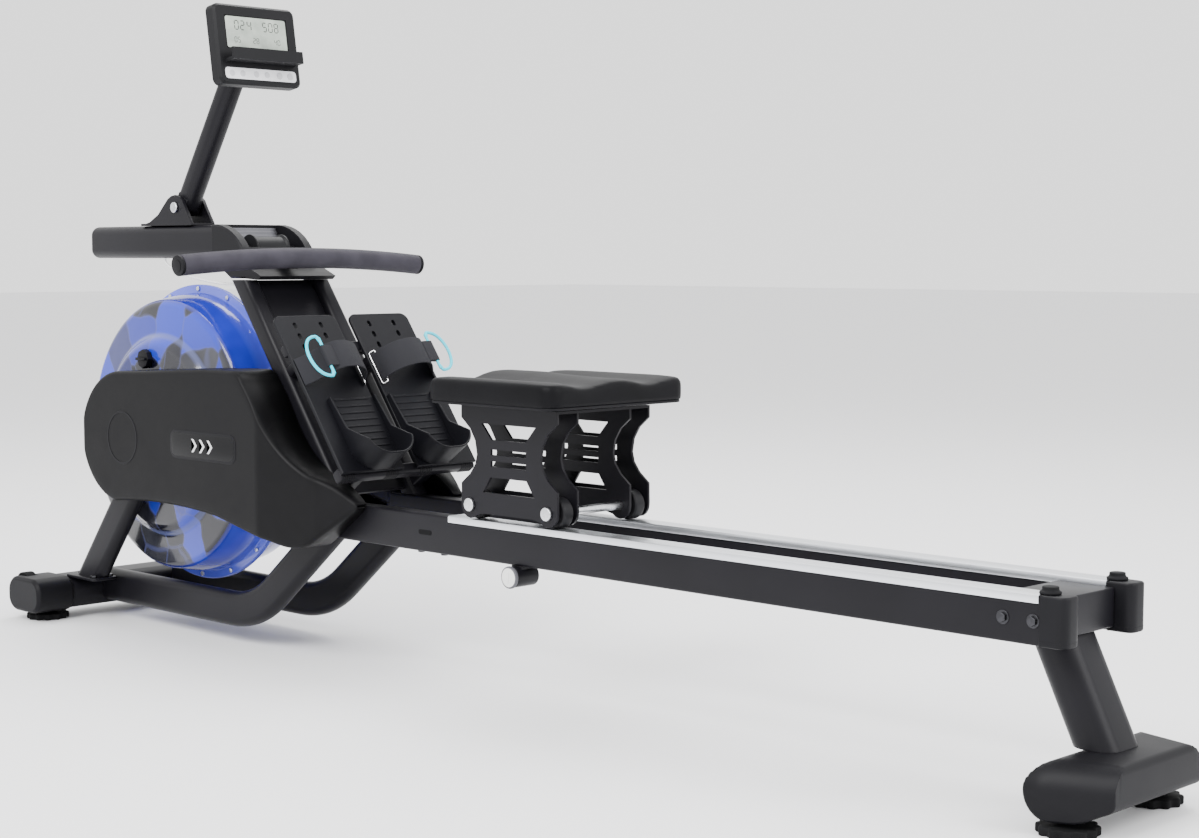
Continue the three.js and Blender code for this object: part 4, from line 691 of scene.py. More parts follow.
# Seen from behind, the upper corners are round: z' = min(z, the corner circle's height). In plan both
# ends slant in towards the back: y' = y (h(x) / h0), with h falling from 127 mm at the nose to 100 mm
# behind.
into_end = np.clip(np.abs(base_y) - (BASE_HALF - SHOULDER), 0, SHOULDER)
corner_height = BASE_TOP - SHOULDER + np.sqrt(SHOULDER**2 - into_end**2)
slant = np.interp(base_rings[..., 0], [1.002, 1.024, 1.106], [1.0, 1.0, 0.100 / 0.127])
base_z = np.minimum(base_rings[..., 1], corner_height[:, None])
base_points = np.stack([base_rings[..., 0], base_y[:, None] * slant, base_z], -1)
base_rows, base_columns = base_points.shape[:2]
base_faces = grid_faces(base_rows, base_columns)
base_faces += [list(range(base_columns))[::-1],
               list(range((base_rows - 1) * base_columns, base_rows * base_columns))]
rear_base = (base_points.reshape(-1, 3), base_faces)
piece("rear_stabiliser", rear_base, "frame", "moulded_black", frame_plastic, "rear_stabiliser")


def levelling_foot(x, y, top):
    """A disc with 12 lobes, r = R - d + d cos 12a, under a tapered stem with a threaded collar."""
    turn = np.linspace(0, 2 * math.pi, 192, endpoint=False)
    reach = 0.0348 + 0.0022 * np.cos(12 * turn)
    outline = np.stack([x + reach * np.cos(turn), y + reach * np.sin(turn)], -1)
    pad = plate(outline, 0.0, 0.011, 0.0022, LYING)
    stem = [(0, 0.0095), (0.0205, 0.0105), (0.0160, 0.0122), (0.0095, top - 0.0012), (0.009, top), (0, top)]
    return joined(pad, turned(soft_profile(stem, 0.001), (x, y, 0), "z", 48))


for side, s in SIDES:
    for end, x, y in (("rear", 1.044, 0.094), ("front", -1.031, 0.176)):
        name = f"{end}_foot_{side}"
        piece(name, levelling_foot(x, s * y, 0.0157), name, "foot_rubber", foot_rubber, name)

# %% [markdown]
# ## Front base
# A wide flat tube lies across the front, with a moulded end on each side. Each end has a pocket with a
# small wheel, which touches the floor only when the machine is stood up to be moved. The pocketed
# mouldings keep the engineering solid's shape, with its edges softened.

# %% Front beam, ends and wheels
front_section = rounded_rect(0.092, 0.056, 0.022, 12) + (-1.031, 0.046)
front_beam = plate(front_section, -0.150, 0.150, 0.0008)
piece("front_stabiliser", front_beam, "frame", "frame_paint", frame_coat, "front_stabiliser")
WHEEL_PROFILE = [(0.0044, -0.010), (0.0165, -0.010), (0.0165, -0.0085), (0.0195, -0.0085), (0.0195, -0.010),
                 (0.023, -0.010), (0.023, 0.010), (0.0195, 0.010), (0.0195, 0.0085), (0.0165, 0.0085),
                 (0.0165, 0.010), (0.0044, 0.010), (0.0044, -0.010)]
for side, s in SIDES:
    from_solid(f"front_cap_{side}", f"front_cap_{side}", "frame", "moulded_black", frame_plastic, 0.0022)
    wheel = turned(soft_profile(WHEEL_PROFILE, 0.0012), (-1.062, s * 0.198, 0.060), "y", 64)
    body = f"transport_wheel_{side}"
    piece(body, wheel, body, "foot_rubber", foot_rubber, body)

# %% [markdown]
# ## Side loops and uprights
# Two flat-oval tubes on each side carry the tank. The lower one runs along the floor and bends up into
# the rail; the upper one climbs from a saddle on the front beam to the tank axle and comes back down to
# the rail. Each is bent from one length of tube, so its section is carried along a line with long soft
# bends.

# %% Bent tubes
oval = rounded_rect(0.060, 0.0296, 0.0138, 12)
LOOP_RISE = 0.681
loop_reach = 0.2785
loop_corners = [(-0.9846, BEAM_Y, 0.057), (-0.531, BEAM_Y, 0.057),
                (-0.531 + loop_reach * math.cos(LOOP_RISE), BEAM_Y,
                 0.057 + loop_reach * math.sin(LOOP_RISE))]
side_loop = carried(*soft_ended(bent_line(loop_corners, 0.070), oval, 0.0012))
LEAN = 0.677
UPRIGHT_Y = 0.123
climb = math.tan(LEAN)
foot_point = np.array([-0.966, UPRIGHT_Y, 0.074])
axle_point = foot_point + np.array([climb, 0, 1]) * (0.343 - 0.074)
run_corners = [foot_point + np.array([climb, 0, 1]) * 0.012, axle_point, (-0.356, UPRIGHT_Y, 0.248)]
upright_tube = carried(bent_line(run_corners, 0.060, 18), oval)
upright_tube = cut_level(upright_tube, len(oval), (climb, 0, 1), 0.0775)
saddle_outline = rounded_rect(0.096, 0.052, 0.010, 8) + (-0.968, UPRIGHT_Y)
saddle = plate(saddle_outline, 0.0743, 0.0793, 0.0012, LYING)
boss = disc(0.024, 0.1075, 0.1385, (-0.788, 0, 0.343), 0.0015)
tab = block((-0.386, 0.0891, 0.222), (-0.356, 0.112, 0.262), 0.002, 0.001)
gusset = joined(disc(0.0065, 0.0790, 0.0836, (-1.000, UPRIGHT_Y, 0), 0.0012, "z", 6),
                disc(0.0065, 0.0790, 0.0836, (-0.934, UPRIGHT_Y - 0.016, 0), 0.0012, "z", 6),
                disc(0.0065, 0.0790, 0.0836, (-0.934, UPRIGHT_Y + 0.016, 0), 0.0012, "z", 6))
for side, s in SIDES:
    piece(f"side_loop_{side}", for_side(side_loop, s), "frame", "frame_paint", frame_coat,
          f"side_loop_{side}")
    upright = for_side(joined(upright_tube, saddle, boss, tab), s)
    piece(f"upright_{side}", upright, "frame", "frame_paint", frame_coat, f"upright_{side}")
    piece(f"saddle_screws_{side}", for_side(gusset, s), "frame", "axle_steel", black_screw)
print("frame faces so far", shown_faces)


# %% [markdown]
# ## Water tank
# The tank is two blow-moulded halves of blue polycarbonate, screwed together round a flange and filled
# with water. A profile turned once about the paddle shaft gives the flange, shoulder, face and raised
# hub. The faces toward the rider are smoky, and light that has been broken by the paddle and the ribs
# inside shows there as blue shards. That pattern is made in the material with Voronoi cells stretched out
# from the axle, so no interior is needed.

# %% Tank materials
TANK_AXLE = (-0.788, 0.0, 0.343)


def tank_finish():
    """Radius from the axle is |(x, z) - axle|; the face is where it is under 235 mm and |y| is over 70
    mm."""
    tank = Finish("tank_blue", (0.02, 0.04, 0.42), 0.16, Coat_Weight=0.35, Coat_Roughness=0.05,
                  Specular_IOR_Level=0.35)
    spot = tank.node("TexCoord", output="Object")
    local = tank.node("VectorMath", {"operation": "SUBTRACT"}, {0: spot, 1: TANK_AXLE})
    x = tank.node("SeparateXYZ", {}, {0: local}, 0)
    y = tank.node("SeparateXYZ", {}, {0: local}, 1)
    z = tank.node("SeparateXYZ", {}, {0: local}, 2)
    radius = (x * x + z * z) ** 0.5
    angle = tank.node("Math", {"operation": "ARCTAN2"}, {0: z, 1: x})
    side = tank.node("Math", {"operation": "ABSOLUTE"}, {0: y})
    polar = tank.node("CombineXYZ", {}, {0: radius * 9.0, 1: angle * 2.2, 2: side * 3.0})
    bent = tank.node("VectorMath", {"operation": "ADD"}, {0: polar, 1: tank.node(
        "VectorMath", {"operation": "SCALE"}, {0: tank.noise(local, 9.0, 2.0), "Scale": 0.7})})
    shard = tank.node("TexVoronoi", {}, {"Vector": bent, "Scale": 1.3}, output="Color")
    tone = tank.node("SeparateColor", {}, {"Color": shard})
    edge = tank.node("TexVoronoi", {"feature": "DISTANCE_TO_EDGE"}, {"Vector": bent, "Scale": 1.3})
    smoke = tank.noise(local, 6.0, 3.0, 0.6)
    shell_blue = tank.mix((0.006, 0.012, 0.26), (0.030, 0.045, 0.55), smoke.above(0.3, 0.4))
    smoky = tank.mix((0.008, 0.008, 0.012), (0.050, 0.052, 0.066), smoke.above(0.35, 0.35))
    streaks = tank.mix(smoky, (0.015, 0.035, 0.42), tone.above(0.56, 0.10))
    streaks = tank.mix(streaks, (0.004, 0.004, 0.010), (0.30 - tone).above(0.0, 0.06))
    face = tank.mix(streaks, (0.07, 0.08, 0.22), (0.05 - edge).above(0.0, 0.04) * 0.35)
    on_face = side.above(0.066, 0.012) * (0.240 - radius).above(0.0, 0.010)
    rim = (radius - 0.168).above(0.0, 0.004) * (0.180 - radius).above(0.0, 0.004)
    # Painted light: beyond 243 mm the flange is painted a lighter lavender blue, standing in for light that
    # shows through the thin translucent rim.
    flange_painted_glow = tank.mix(shell_blue, (0.16, 0.20, 0.85), (radius - 0.243).above(0.0, 0.006) * 0.55)
    colour = tank.mix(flange_painted_glow, face, on_face)
    colour = tank.mix(colour, (0.10, 0.12, 0.28), rim * on_face * 0.55)
    tank.set("Base Color", colour)
    tank.set("Roughness", smoke * 0.16 + 0.08)
    tank.bump(tank.noise(local, 60.0, 2.0) + tone * on_face * 0.6, 0.0006, 0.35)
    return tank.material


tank_blue = tank_finish()
paddle_plastic = moulded("paddle_plastic", (0.20, 0.22, 0.30), 0.4)

# %% Tank, screws and plug
TANK_PROFILE = [(0.241, 0.0002), (0.262, 0.0002), (0.262, 0.0051), (0.2462, 0.0052), (0.245, 0.030),
                (0.236, 0.074),
                (0.228, 0.080), (0.177, 0.083), (0.165, 0.096), (0.157, 0.100), (0.0104, 0.100),
                (0.0104, 0.096),
                (0.154, 0.096), (0.163, 0.082), (0.173, 0.078), (0.226, 0.075), (0.241, 0.030),
                (0.241, 0.0002)]
TANK_SOFT = [0, 0.002, 0.002, 0.003, 0.010, 0.012, 0.008, 0.006, 0.006, 0.005, 0.001, 0.001, 0.003, 0.003,
             0.004,
             0.006, 0.006, 0]
tank_profile = softened(TANK_PROFILE, TANK_SOFT, closed=False, steps=6)
tank_half = turned(tank_profile, TANK_AXLE, "y", 144)
SCREWS = 18
screw_turn = (np.arange(SCREWS) + 0.5) * 2 * math.pi / SCREWS
screw_places = np.stack([TANK_AXLE[0] + 0.2545 * np.cos(screw_turn),
                         TANK_AXLE[2] + 0.2545 * np.sin(screw_turn)], -1)
screw_rows = joined(*[disc(0.0045, 0.0050, 0.0085, (x, 0, z), 0.0010, "y", 6) for x, z in screw_places])
axle_collar = joined(disc(0.019, 0.0995, 0.1045, TANK_AXLE, 0.001, "y", 40),
                     disc(0.0125, 0.1035, 0.1068, TANK_AXLE, 0.001, "y", 6))
for side, s in SIDES:
    piece(f"tank_shell_{side}", for_side(tank_half, s), "frame", "tank_blue", tank_blue,
          f"tank_shell_{side}")
    piece(f"tank_screws_{side}", for_side(screw_rows, s), "frame", "axle_steel", zinc)
    piece(f"axle_collar_{side}", for_side(axle_collar, s), "frame", "moulded_black", roller_plastic)

plug_cap = disc(0.0169, -0.1120, -0.1004, (-0.808, 0, 0.476), 0.0018, "y", 8)
plug_grip = block((-0.822, -0.1172, 0.4735), (-0.794, -0.1115, 0.4785), 0.0012, 0.001)
plug_neck = disc(0.011, -0.1006, -0.0925, (-0.808, 0, 0.476), 0.0008, "y", 32)
piece("fill_plug", joined(plug_cap, plug_grip, plug_neck), "fill_plug", "moulded_black", frame_plastic,
      "fill_plug")

# %% Paddle and drum
turn_step = 2 * math.pi / 6
paddle_parts = [disc(0.0098, -0.157, 0.157, TANK_AXLE, 0.001, "y", 32),
                disc(0.034, -0.058, 0.058, TANK_AXLE, 0.004)]
for k in range(6):
    way = np.array([math.cos(k * turn_step + 0.3), 0, -math.sin(k * turn_step + 0.3)])
    start = np.array(TANK_AXLE) + 0.020 * way
    blade = bar(start, start + 0.164 * way, rounded_rect(0.004, 0.108, 0.0019, 4), 0.0018)
    paddle_parts.append(blade)
piece("paddle_wheel", joined(*paddle_parts), "paddle", "paddle_plastic", paddle_plastic, "paddle_wheel")
DRUM_PROFILE = [(0.0104, 0.142), (0.044, 0.142), (0.044, 0.144), (0.040, 0.144), (0.040, 0.155),
                (0.044, 0.155),
                (0.044, 0.157), (0.0104, 0.157), (0.0104, 0.142)]
drum = turned(soft_profile(DRUM_PROFILE, 0.0006), TANK_AXLE, "y", 96)
piece("drive_pulley", drum, "drum", "roller_plastic", roller_plastic, "drive_pulley")

# %% [markdown]
# ## Side covers
# Each cover is one thin moulding: a round nose over the tank axle that sweeps back and dives to the foot
# of the pedals. Its upper and lower edges are both single-valued in x, so the skin is a row of C-shaped
# ribs, one at each x, that run from the machine out, round a soft edge, across the face and back. A
# Solidify modifier gives the skin its 2.5 mm.

# %% Side covers
def quadratic(a, b, c, steps=24):
    """(1-t)^2 a + 2t(1-t) b + t^2 c."""
    t = np.linspace(0, 1, steps)[:, None]
    return (1 - t) ** 2 * np.array(a) + 2 * t * (1 - t) * np.array(b) + t**2 * np.array(c)


NOSE_X, NOSE_Z, NOSE_RADIUS = -0.802, 0.343, 0.114
up_arc = np.linspace(math.pi, math.pi / 2, 40)
down_arc = np.linspace(math.pi, 1.45 * math.pi, 40)
nose_curve = lambda turn: np.stack([NOSE_X + NOSE_RADIUS * np.cos(turn),
                                    NOSE_Z + NOSE_RADIUS * np.sin(turn)], -1)
upper = np.vstack([nose_curve(up_arc), [(-0.556, 0.470)],
                   quadratic((-0.470, 0.471), (-0.449, 0.471), (-0.440, 0.456)),
                   quadratic((-0.438, 0.453), (-0.414, 0.427), (-0.396, 0.395)),
                   quadratic((-0.396, 0.395), (-0.358, 0.336), (-0.301, 0.311)),
                   quadratic((-0.301, 0.311), (-0.256, 0.301), (-0.218, 0.270))])
lower = np.vstack([nose_curve(down_arc), quadratic((-0.8198, 0.2304), (-0.676, 0.247), (-0.516, 0.229)),
                   quadratic((-0.376, 0.200), (-0.324, 0.184), (-0.296, 0.206)), [(-0.2185, 0.2635)]])
tip_turn = np.linspace(0, math.pi / 2, 26)
stations = np.r_[NOSE_X - NOSE_RADIUS * np.cos(tip_turn), np.linspace(NOSE_X, -0.218, 112)[1:]]
top_z = np.interp(stations, upper[:, 0], upper[:, 1])
low_z = np.interp(stations, lower[:, 0], lower[:, 1])
EDGE = 0.008
face_y = np.interp(stations, [-0.400, -0.286, -0.196], [0.1678, 0.138, 0.102])
nose_in = np.clip((stations[0] + EDGE - stations) / EDGE, 0, 1)
face_y = face_y - EDGE * (1 - np.sqrt(1 - nose_in**2))
back_y = np.interp(stations, [-0.5225, -0.5215], [0.103, 0.0908])
edge_here = np.minimum(EDGE, 0.45 * (top_z - low_z))
bend = np.linspace(0, math.pi / 2, 7)
soft_y = face_y[:, None] - edge_here[:, None] * (1 - np.sin(bend))
soft_z = edge_here[:, None] * (1 - np.cos(bend))
across_face = np.linspace(0, 1, 15)[1:-1]
inner_low, inner_top = (low_z + edge_here)[:, None], (top_z - edge_here)[:, None]
rib_y = np.hstack([back_y[:, None], soft_y, np.repeat(face_y[:, None], 13, 1), soft_y[:, ::-1],
                   back_y[:, None]])
rib_z = np.hstack([low_z[:, None], low_z[:, None] + soft_z, inner_low + (inner_top - inner_low)
                   * across_face,
                   top_z[:, None] - soft_z[:, ::-1], top_z[:, None]])
rib_x = np.broadcast_to(stations[:, None], rib_z.shape)
cover = (np.stack([rib_x, rib_y, rib_z], -1).reshape(-1, 3), grid_faces(*rib_z.shape, wrap_columns=False))
badge_material = moulded("badge_black", (0.004, 0.004, 0.0045), 0.25, 0.0006, 0.00003)
mark_material = moulded("badge_mark", (0.55, 0.55, 0.56), 0.4, 0.0006, 0.00003)
ring_profile = [(0.0425, 0.1670), (0.0430, 0.1684), (0.0460, 0.1684), (0.0465, 0.1670)]
badge_plate = plate(rounded_rect(0.186, 0.048, 0.016, 12) + (-0.548, 0.343), 0.1670, 0.1684, 0.0006)
frame_ring = plate(rounded_rect(0.178, 0.040, 0.0125, 12) + (-0.548, 0.343), 0.1676, 0.1687, 0.0004)
chevron = softened([(-0.008, -0.011), (0.002, 0), (-0.008, 0.011), (-0.0025, 0.011), (0.0075, 0),
                    (-0.0025, -0.011)], 0.0006)
marks = joined(*[plate(chevron + (x, 0.343), 0.1682, 0.1692, 0.0002) for x in (-0.570, -0.548, -0.526)])
for side, s in SIDES:
    skin = piece(f"shroud_{side}", for_side(cover, s), "frame", "cover_black", cover_plastic,
                 f"shroud_{side}")
    skin.modifiers.new("skin", "SOLIDIFY").thickness = 0.0025
    skin.modifiers["skin"].offset = -1
    ring = turned(ring_profile, TANK_AXLE, "y", 96)
    piece(f"cover_ring_{side}", for_side(joined(ring, badge_plate), s), "frame", "cover_black",
          frame_plastic)
    piece(f"badge_{side}", for_side(frame_ring, s), "frame", "moulded_black", badge_material)
    piece(f"badge_marks_{side}", for_side(marks, s), "frame", "knob_white", mark_material)
print("cover ribs", len(stations), "faces so far", shown_faces)

# %% [markdown]
# ## Boom and head
# A square boom with a domed front end carries the mast and, at its rear, a moulded head. The head widens
# to two cheeks round a roller, over which the strap comes out to the handle. The head keeps the
# engineering outline.

# %% Boom, head and roller
BOOM_Z = 0.680
boom_section = rounded_rect(0.058, 0.058, 0.016, 9)
dome = np.linspace(0, math.pi / 2, 7)
dome_path = np.stack([-1.1060 + 0.012 * (1 - np.cos(dome)), 0 * dome, BOOM_Z + 0 * dome], -1)
boom_path = np.vstack([dome_path, [(-0.9, 0, BOOM_Z), (-0.7021, 0, BOOM_Z)]])
boom_rings = [shrunk(boom_section, 0.012 * (1 - math.sin(a))) for a in dome] + [boom_section] * 2
boom = carried(boom_path, np.array(boom_rings))
piece("boom", boom, "frame", "frame_paint", frame_coat, "boom")
from_solid("head_housing", "head_housing", "frame", "moulded_black", frame_plastic, 0.0018)
HEAD_ROLLER = (-0.596, 0, 0.668)
ROLLER_PROFILE = [(0.0054, -0.034), (0.024, -0.034), (0.024, -0.031), (0.020, -0.028), (0.020, 0.028),
                  (0.024, 0.031),
                  (0.024, 0.034), (0.0054, 0.034), (0.0054, -0.034)]
head_roller = turned(soft_profile(ROLLER_PROFILE, 0.0009), HEAD_ROLLER, "y", 72)
grey_plastic = moulded("grey_plastic", (0.085, 0.085, 0.095), 0.45, 0.0009, 0.00005)
piece("head_roller", head_roller, "head_roller", "roller_plastic", roller_plastic, "head_roller")
# A ribbed light panel lies at a slant in the opening: z = line + ripple.
u = np.linspace(0, 1, 41)[:, None]
v = np.linspace(-0.0572, 0.0572, 9)[None, :]
panel_x = -0.6455 + 0.0240 * u + 0 * v
panel_z = 0.7035 - 0.036 * u + 0.0011 * np.sin(2 * math.pi * 6 * u) + 0 * v
panel = (np.stack([panel_x, v + 0 * u, panel_z], -1).reshape(-1, 3), grid_faces(41, 9, wrap_columns=False))
light_panel = piece("light_panel", panel, "frame", "key_grey", grey_plastic)
light_panel.modifiers.new("sheet", "SOLIDIFY").thickness = 0.0015

# %% [markdown]
# ## Mast and console
# The mast is a short oval tube between two hinges, so that it folds down and the console still faces the
# rider. The hinge bolts go through both ears with a domed head on each side.

# %% Mast
MAST_FOOT = np.array([-0.828, 0, 0.741])
MAST_WAY = np.array([math.sin(0.583), 0, math.cos(0.583)])
MAST_TOP = MAST_FOOT + 0.302 * MAST_WAY
mast_tube = bar(MAST_FOOT + 0.004 * MAST_WAY, MAST_TOP - 0.004 * MAST_WAY,
                rounded_rect(0.042, 0.0355, 0.016, 9), 0.002)
mast_bottom = disc(0.0149, -0.018, 0.018, MAST_FOOT, 0.0015)
mast_top = disc(0.0129, -0.018, 0.018, MAST_TOP, 0.0015)
mast_shoulders = bar(MAST_FOOT, MAST_FOOT + 0.024 * MAST_WAY, rounded_rect(0.0298, 0.0358, 0.003, 4), 0.001)
mast_neck = bar(MAST_TOP - 0.022 * MAST_WAY, MAST_TOP, rounded_rect(0.0258, 0.0358, 0.003, 4), 0.001)
mast_shell = joined(mast_tube, mast_bottom, mast_top, mast_shoulders, mast_neck)
piece("mast", mast_shell, "mast", "frame_paint", frame_coat, "mast")
from_solid("mast_bracket", "mast_bracket", "frame", "frame_paint", frame_coat, 0.0012)
low_bolt = [disc(0.0095, 0.0249, 0.0300, MAST_FOOT, 0.0022, "y", 40),
            disc(0.0042, 0.0298, 0.0306, MAST_FOOT, 0.0005, "y", 6)]
high_bolt = [disc(0.0085, 0.0249, 0.0290, MAST_TOP, 0.0020, "y", 40),
             disc(0.0040, 0.0288, 0.0296, MAST_TOP, 0.0005, "y", 6)]
for side, s in SIDES:
    piece(f"mast_bolt_{side}", for_side(joined(*low_bolt), s), "frame", "axle_steel", zinc)
    piece(f"console_bolt_{side}", for_side(joined(*high_bolt), s), "console", "axle_steel", zinc)

# %% [markdown]
# The console is a flat casing with a grey display sunk in its face, a ledge for a phone, and a strip of
# keys. The display's figures are plain seven-bar digits, as thin dark bars that stand on the glass.

# %% Console
LEAN_COS, LEAN_SIN = math.cos(0.157), math.sin(0.157)
ON_CONSOLE = lambda a, b, c: np.stack([-0.610 + c * LEAN_COS - b * LEAN_SIN, a + 0 * c,
                                       1.011 + c * LEAN_SIN + b * LEAN_COS], -1)
console_plastic = moulded("console_black", (0.0065, 0.0065, 0.0075), 0.48, 0.0009, 0.00006)
from_solid("console_body", "console_body", "console", "moulded_black", console_plastic, 0.0014)
glass = Finish("display_grey", (0.33, 0.37, 0.33), 0.18, Coat_Weight=0.4)
haze = glass.noise(glass.place(), 40.0, 3.0)
glass.set("Base Color", glass.mix((0.28, 0.315, 0.28), (0.38, 0.42, 0.37), haze.above(0.35, 0.3)))
glass.set("Roughness", haze * 0.1 + 0.14)
digit_ink = moulded("display_ink", (0.02, 0.025, 0.022), 0.4, 0.0008, 0.00002)
key_strip_plastic = moulded("key_strip", (0.60, 0.60, 0.62), 0.35, 0.0007, 0.00003)
key_plastic = moulded("key_grey", (0.42, 0.42, 0.44), 0.4, 0.0006, 0.00003)
display = plate(rounded_rect(0.124, 0.054, 0.004) + (0, 0.0205), -0.0014, -0.0006, 0.0003, ON_CONSOLE)
piece("display", display, "console", "key_grey", glass.material)
BARS = {"a": (0, 1, 0), "b": (0.5, 0.5, 1), "c": (0.5, -0.5, 1), "d": (0, -1, 0), "e": (-0.5, -0.5, 1),
        "f": (-0.5, 0.5, 1), "g": (0, 0, 0)}
FIGURES = {0: "abcdef", 2: "abged", 4: "fgbc", 5: "afgcd", 8: "abcdefg"}


def digit(value, y, up, height):
    """Seven bars at (-+w/2, -+h/2): flat ones across, upright ones at the sides."""
    width = height * 0.5
    bars = []
    for name in FIGURES[value]:
        dy, dz, upright = BARS[name]
        size = (height * 0.09, height * 0.40) if upright else (width * 0.72, height * 0.09)
        outline = rounded_rect(size[0], size[1], height * 0.03, 3) + (y + dy * width, up + dz * height / 2)
        bars.append(plate(outline, -0.0008, -0.0004, 0.00005, ON_CONSOLE, 1))
    return joined(*bars)


rows = [(0, -0.040, 0.033, 0.015), (2, -0.028, 0.033, 0.015), (4, -0.014, 0.033, 0.015),
        (5, 0.018, 0.033, 0.015),
        (0, 0.030, 0.033, 0.015), (8, 0.042, 0.033, 0.015), (0, -0.044, 0.008, 0.009),
        (5, -0.037, 0.008, 0.009),
        (2, -0.006, 0.008, 0.009), (8, 0.001, 0.008, 0.009), (4, 0.038, 0.008, 0.009),
        (0, 0.045, 0.008, 0.009)]
piece("display_figures", joined(*[digit(*row) for row in rows]), "console", "moulded_black", digit_ink)
strip = plate(rounded_rect(0.146, 0.019, 0.006) + (0, -0.050), -0.0002, 0.0006, 0.0003, ON_CONSOLE)
piece("key_strip", strip, "console", "key_grey", key_strip_plastic)
for name, y in (("key_up", 0.038), ("key_down", 0.060)):
    key = plate(circle(0.0058, 40) + (y, -0.050), -0.0014, 0.0016, 0.0007, ON_CONSOLE)
    piece(name, key, name, "key_grey", key_plastic, name)
dummy_keys = joined(*[plate(circle(0.0052, 40) + (y, -0.050), 0.0002, 0.0014, 0.0005, ON_CONSOLE)
                      for y in (-0.060, -0.038, -0.010, 0.012)])
piece("fixed_keys", dummy_keys, "console", "key_grey", key_plastic)
print("console done, faces so far", shown_faces)


# %% [markdown]
# ## Handle and strap
# The handle is a bowed steel bar in a foam sleeve with a flat round cap at each end. The drive strap
# leaves the roller, goes through the head and is stitched round the middle of the bar. When the handle is
# pulled, the strap comes off the drum inside the machine, so its visible part has to grow. Here it is one
# straight strip from the head to the handle, cut into many short rows, and it is not tied to either.

# %% Handle
def foam_finish():
    """Fine ribs round the grip, 2.2 mm apart along Y, with a closed-cell grain between them."""
    foam = Finish("handle_foam", (0.030, 0.027, 0.036), 0.72, Specular_IOR_Level=0.25)
    spot = foam.place()
    ribs = foam.node("Math", {"operation": "SINE"},
                     {0: foam.node("SeparateXYZ", {}, {0: spot}, 1) * 2800.0})
    grain = foam.noise(spot, 1500.0, 2.0)
    cloud = foam.noise(spot, 25.0, 3.0)
    foam.set("Base Color", foam.mix((0.020, 0.018, 0.026), (0.034, 0.031, 0.042), cloud.above(0.35, 0.35)))
    foam.set("Roughness", cloud * 0.15 + 0.62)
    foam.bump(ribs * 0.35 + grain, 0.00022, 0.5)
    return foam.material


def webbing_finish(name, dark, light):
    """Plain weave from the strip's own (u, v) in metres: over-and-under threads 1.4 mm wide."""
    cloth = Finish(name, dark, 0.85, Specular_IOR_Level=0.2)
    spot = cloth.place(source="UV")
    u = cloth.node("Math", {"operation": "SINE"}, {0: cloth.node("SeparateXYZ", {}, {0: spot}, 0) * 4488.0})
    v = cloth.node("Math", {"operation": "SINE"}, {0: cloth.node("SeparateXYZ", {}, {0: spot}, 1) * 4488.0})
    weave = u * v * 0.5 + 0.5
    fuzz = cloth.noise(cloth.place(), 400.0, 3.0)
    cloth.set("Base Color", cloth.mix(dark, light, weave * 0.6 + fuzz * 0.4))
    cloth.set("Roughness", fuzz * 0.2 + 0.72)
    cloth.bump(weave, 0.0004, 0.6)
    return cloth.material


handle_foam = foam_finish()
webbing = webbing_finish("webbing", (0.0075, 0.0075, 0.010), (0.021, 0.021, 0.025))
HANDLE_X = -0.490


def handle_line(low, high, steps):
    """z = z0 + bow (1 - (y / half)^2)."""
    y = np.linspace(low, high, steps)
    return np.stack([HANDLE_X + 0 * y, y, 0.640 + 0.012 * (1 - (y / 0.250) ** 2)], -1)


UPWARD = (0, 0, 1)
sleeve = carried(*soft_ended(handle_line(-0.2438, 0.2438, 40), circle(0.0169, 40), 0.0015), across=UPWARD)
piece("handle_foam", sleeve, "handle", "handle_foam", handle_foam, "handle_foam")
grip_parts = [carried(handle_line(-0.246, 0.246, 20), circle(0.009, 24), across=UPWARD)]
for _, s in SIDES:
    cap_line = handle_line(*sorted((s * 0.2445, s * 0.2500)), 5)
    grip_parts.append(carried(*soft_ended(cap_line, circle(0.0169, 40), 0.0018), across=UPWARD))
    button = handle_line(*sorted((s * 0.2495, s * 0.2510)), 3)
    grip_parts.append(carried(*soft_ended(button, circle(0.010, 32), 0.0006), across=UPWARD))
piece("handle_bar", joined(*grip_parts), "handle", "moulded_black", frame_plastic, "handle_bar")

STRAP_START, STRAP_END = -0.570, -0.5075
strap_line = [(x, 0, 0.652) for x in np.linspace(STRAP_START, STRAP_END, 60)]
strap_section = rounded_rect(0.0028, 0.0298, 0.0013, 4)
strap_shell = carried(strap_line, strap_section)
strap_uv = np.stack([strap_shell[0][:, 0], strap_shell[0][:, 1]], -1)
strap_mesh = bpy.data.meshes.new("drive_strap")
strap_mesh.from_pydata(strap_shell[0].tolist(), [], strap_shell[1])
strap_mesh.uv_layers.new(name="along")
strap_corner = np.empty(len(strap_mesh.loops), np.int32)
strap_mesh.loops.foreach_get("vertex_index", strap_corner)
strap_mesh.uv_layers["along"].data.foreach_set("uv", strap_uv[strap_corner].ravel())
drive_strap = bpy.data.objects.new("drive_strap_shown", cleaned(strap_mesh))
bpy.context.scene.collection.objects.link(drive_strap)
drive_strap.data.materials.append(webbing)
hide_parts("drive_strap")
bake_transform(drive_strap)

# %% [markdown]
# ## Foot frame
# Two oval beams lean forward from the rails to the head, with a panel between them. Arms hold two cross
# bars, and the pedals lie on the bars. Everything here is drawn in the slope's own frame: a up the slope,
# y across, b out towards the rider.

# %% Beams, bars and pedals
SLOPE = 0.9338
UP = np.array([-math.cos(SLOPE), 0, math.sin(SLOPE)])
OUT = np.array([math.sin(SLOPE), 0, math.cos(SLOPE)])
SLOPE_FOOT = np.array([-0.308, 0, 0.286])


def on_slope(a, y, b):
    """foot + a * up + b * out, with y kept."""
    a, y, b = np.broadcast_arrays(a, y, b)
    return SLOPE_FOOT + a[..., None] * UP + b[..., None] * OUT + y[..., None] * np.array([0, 1, 0])


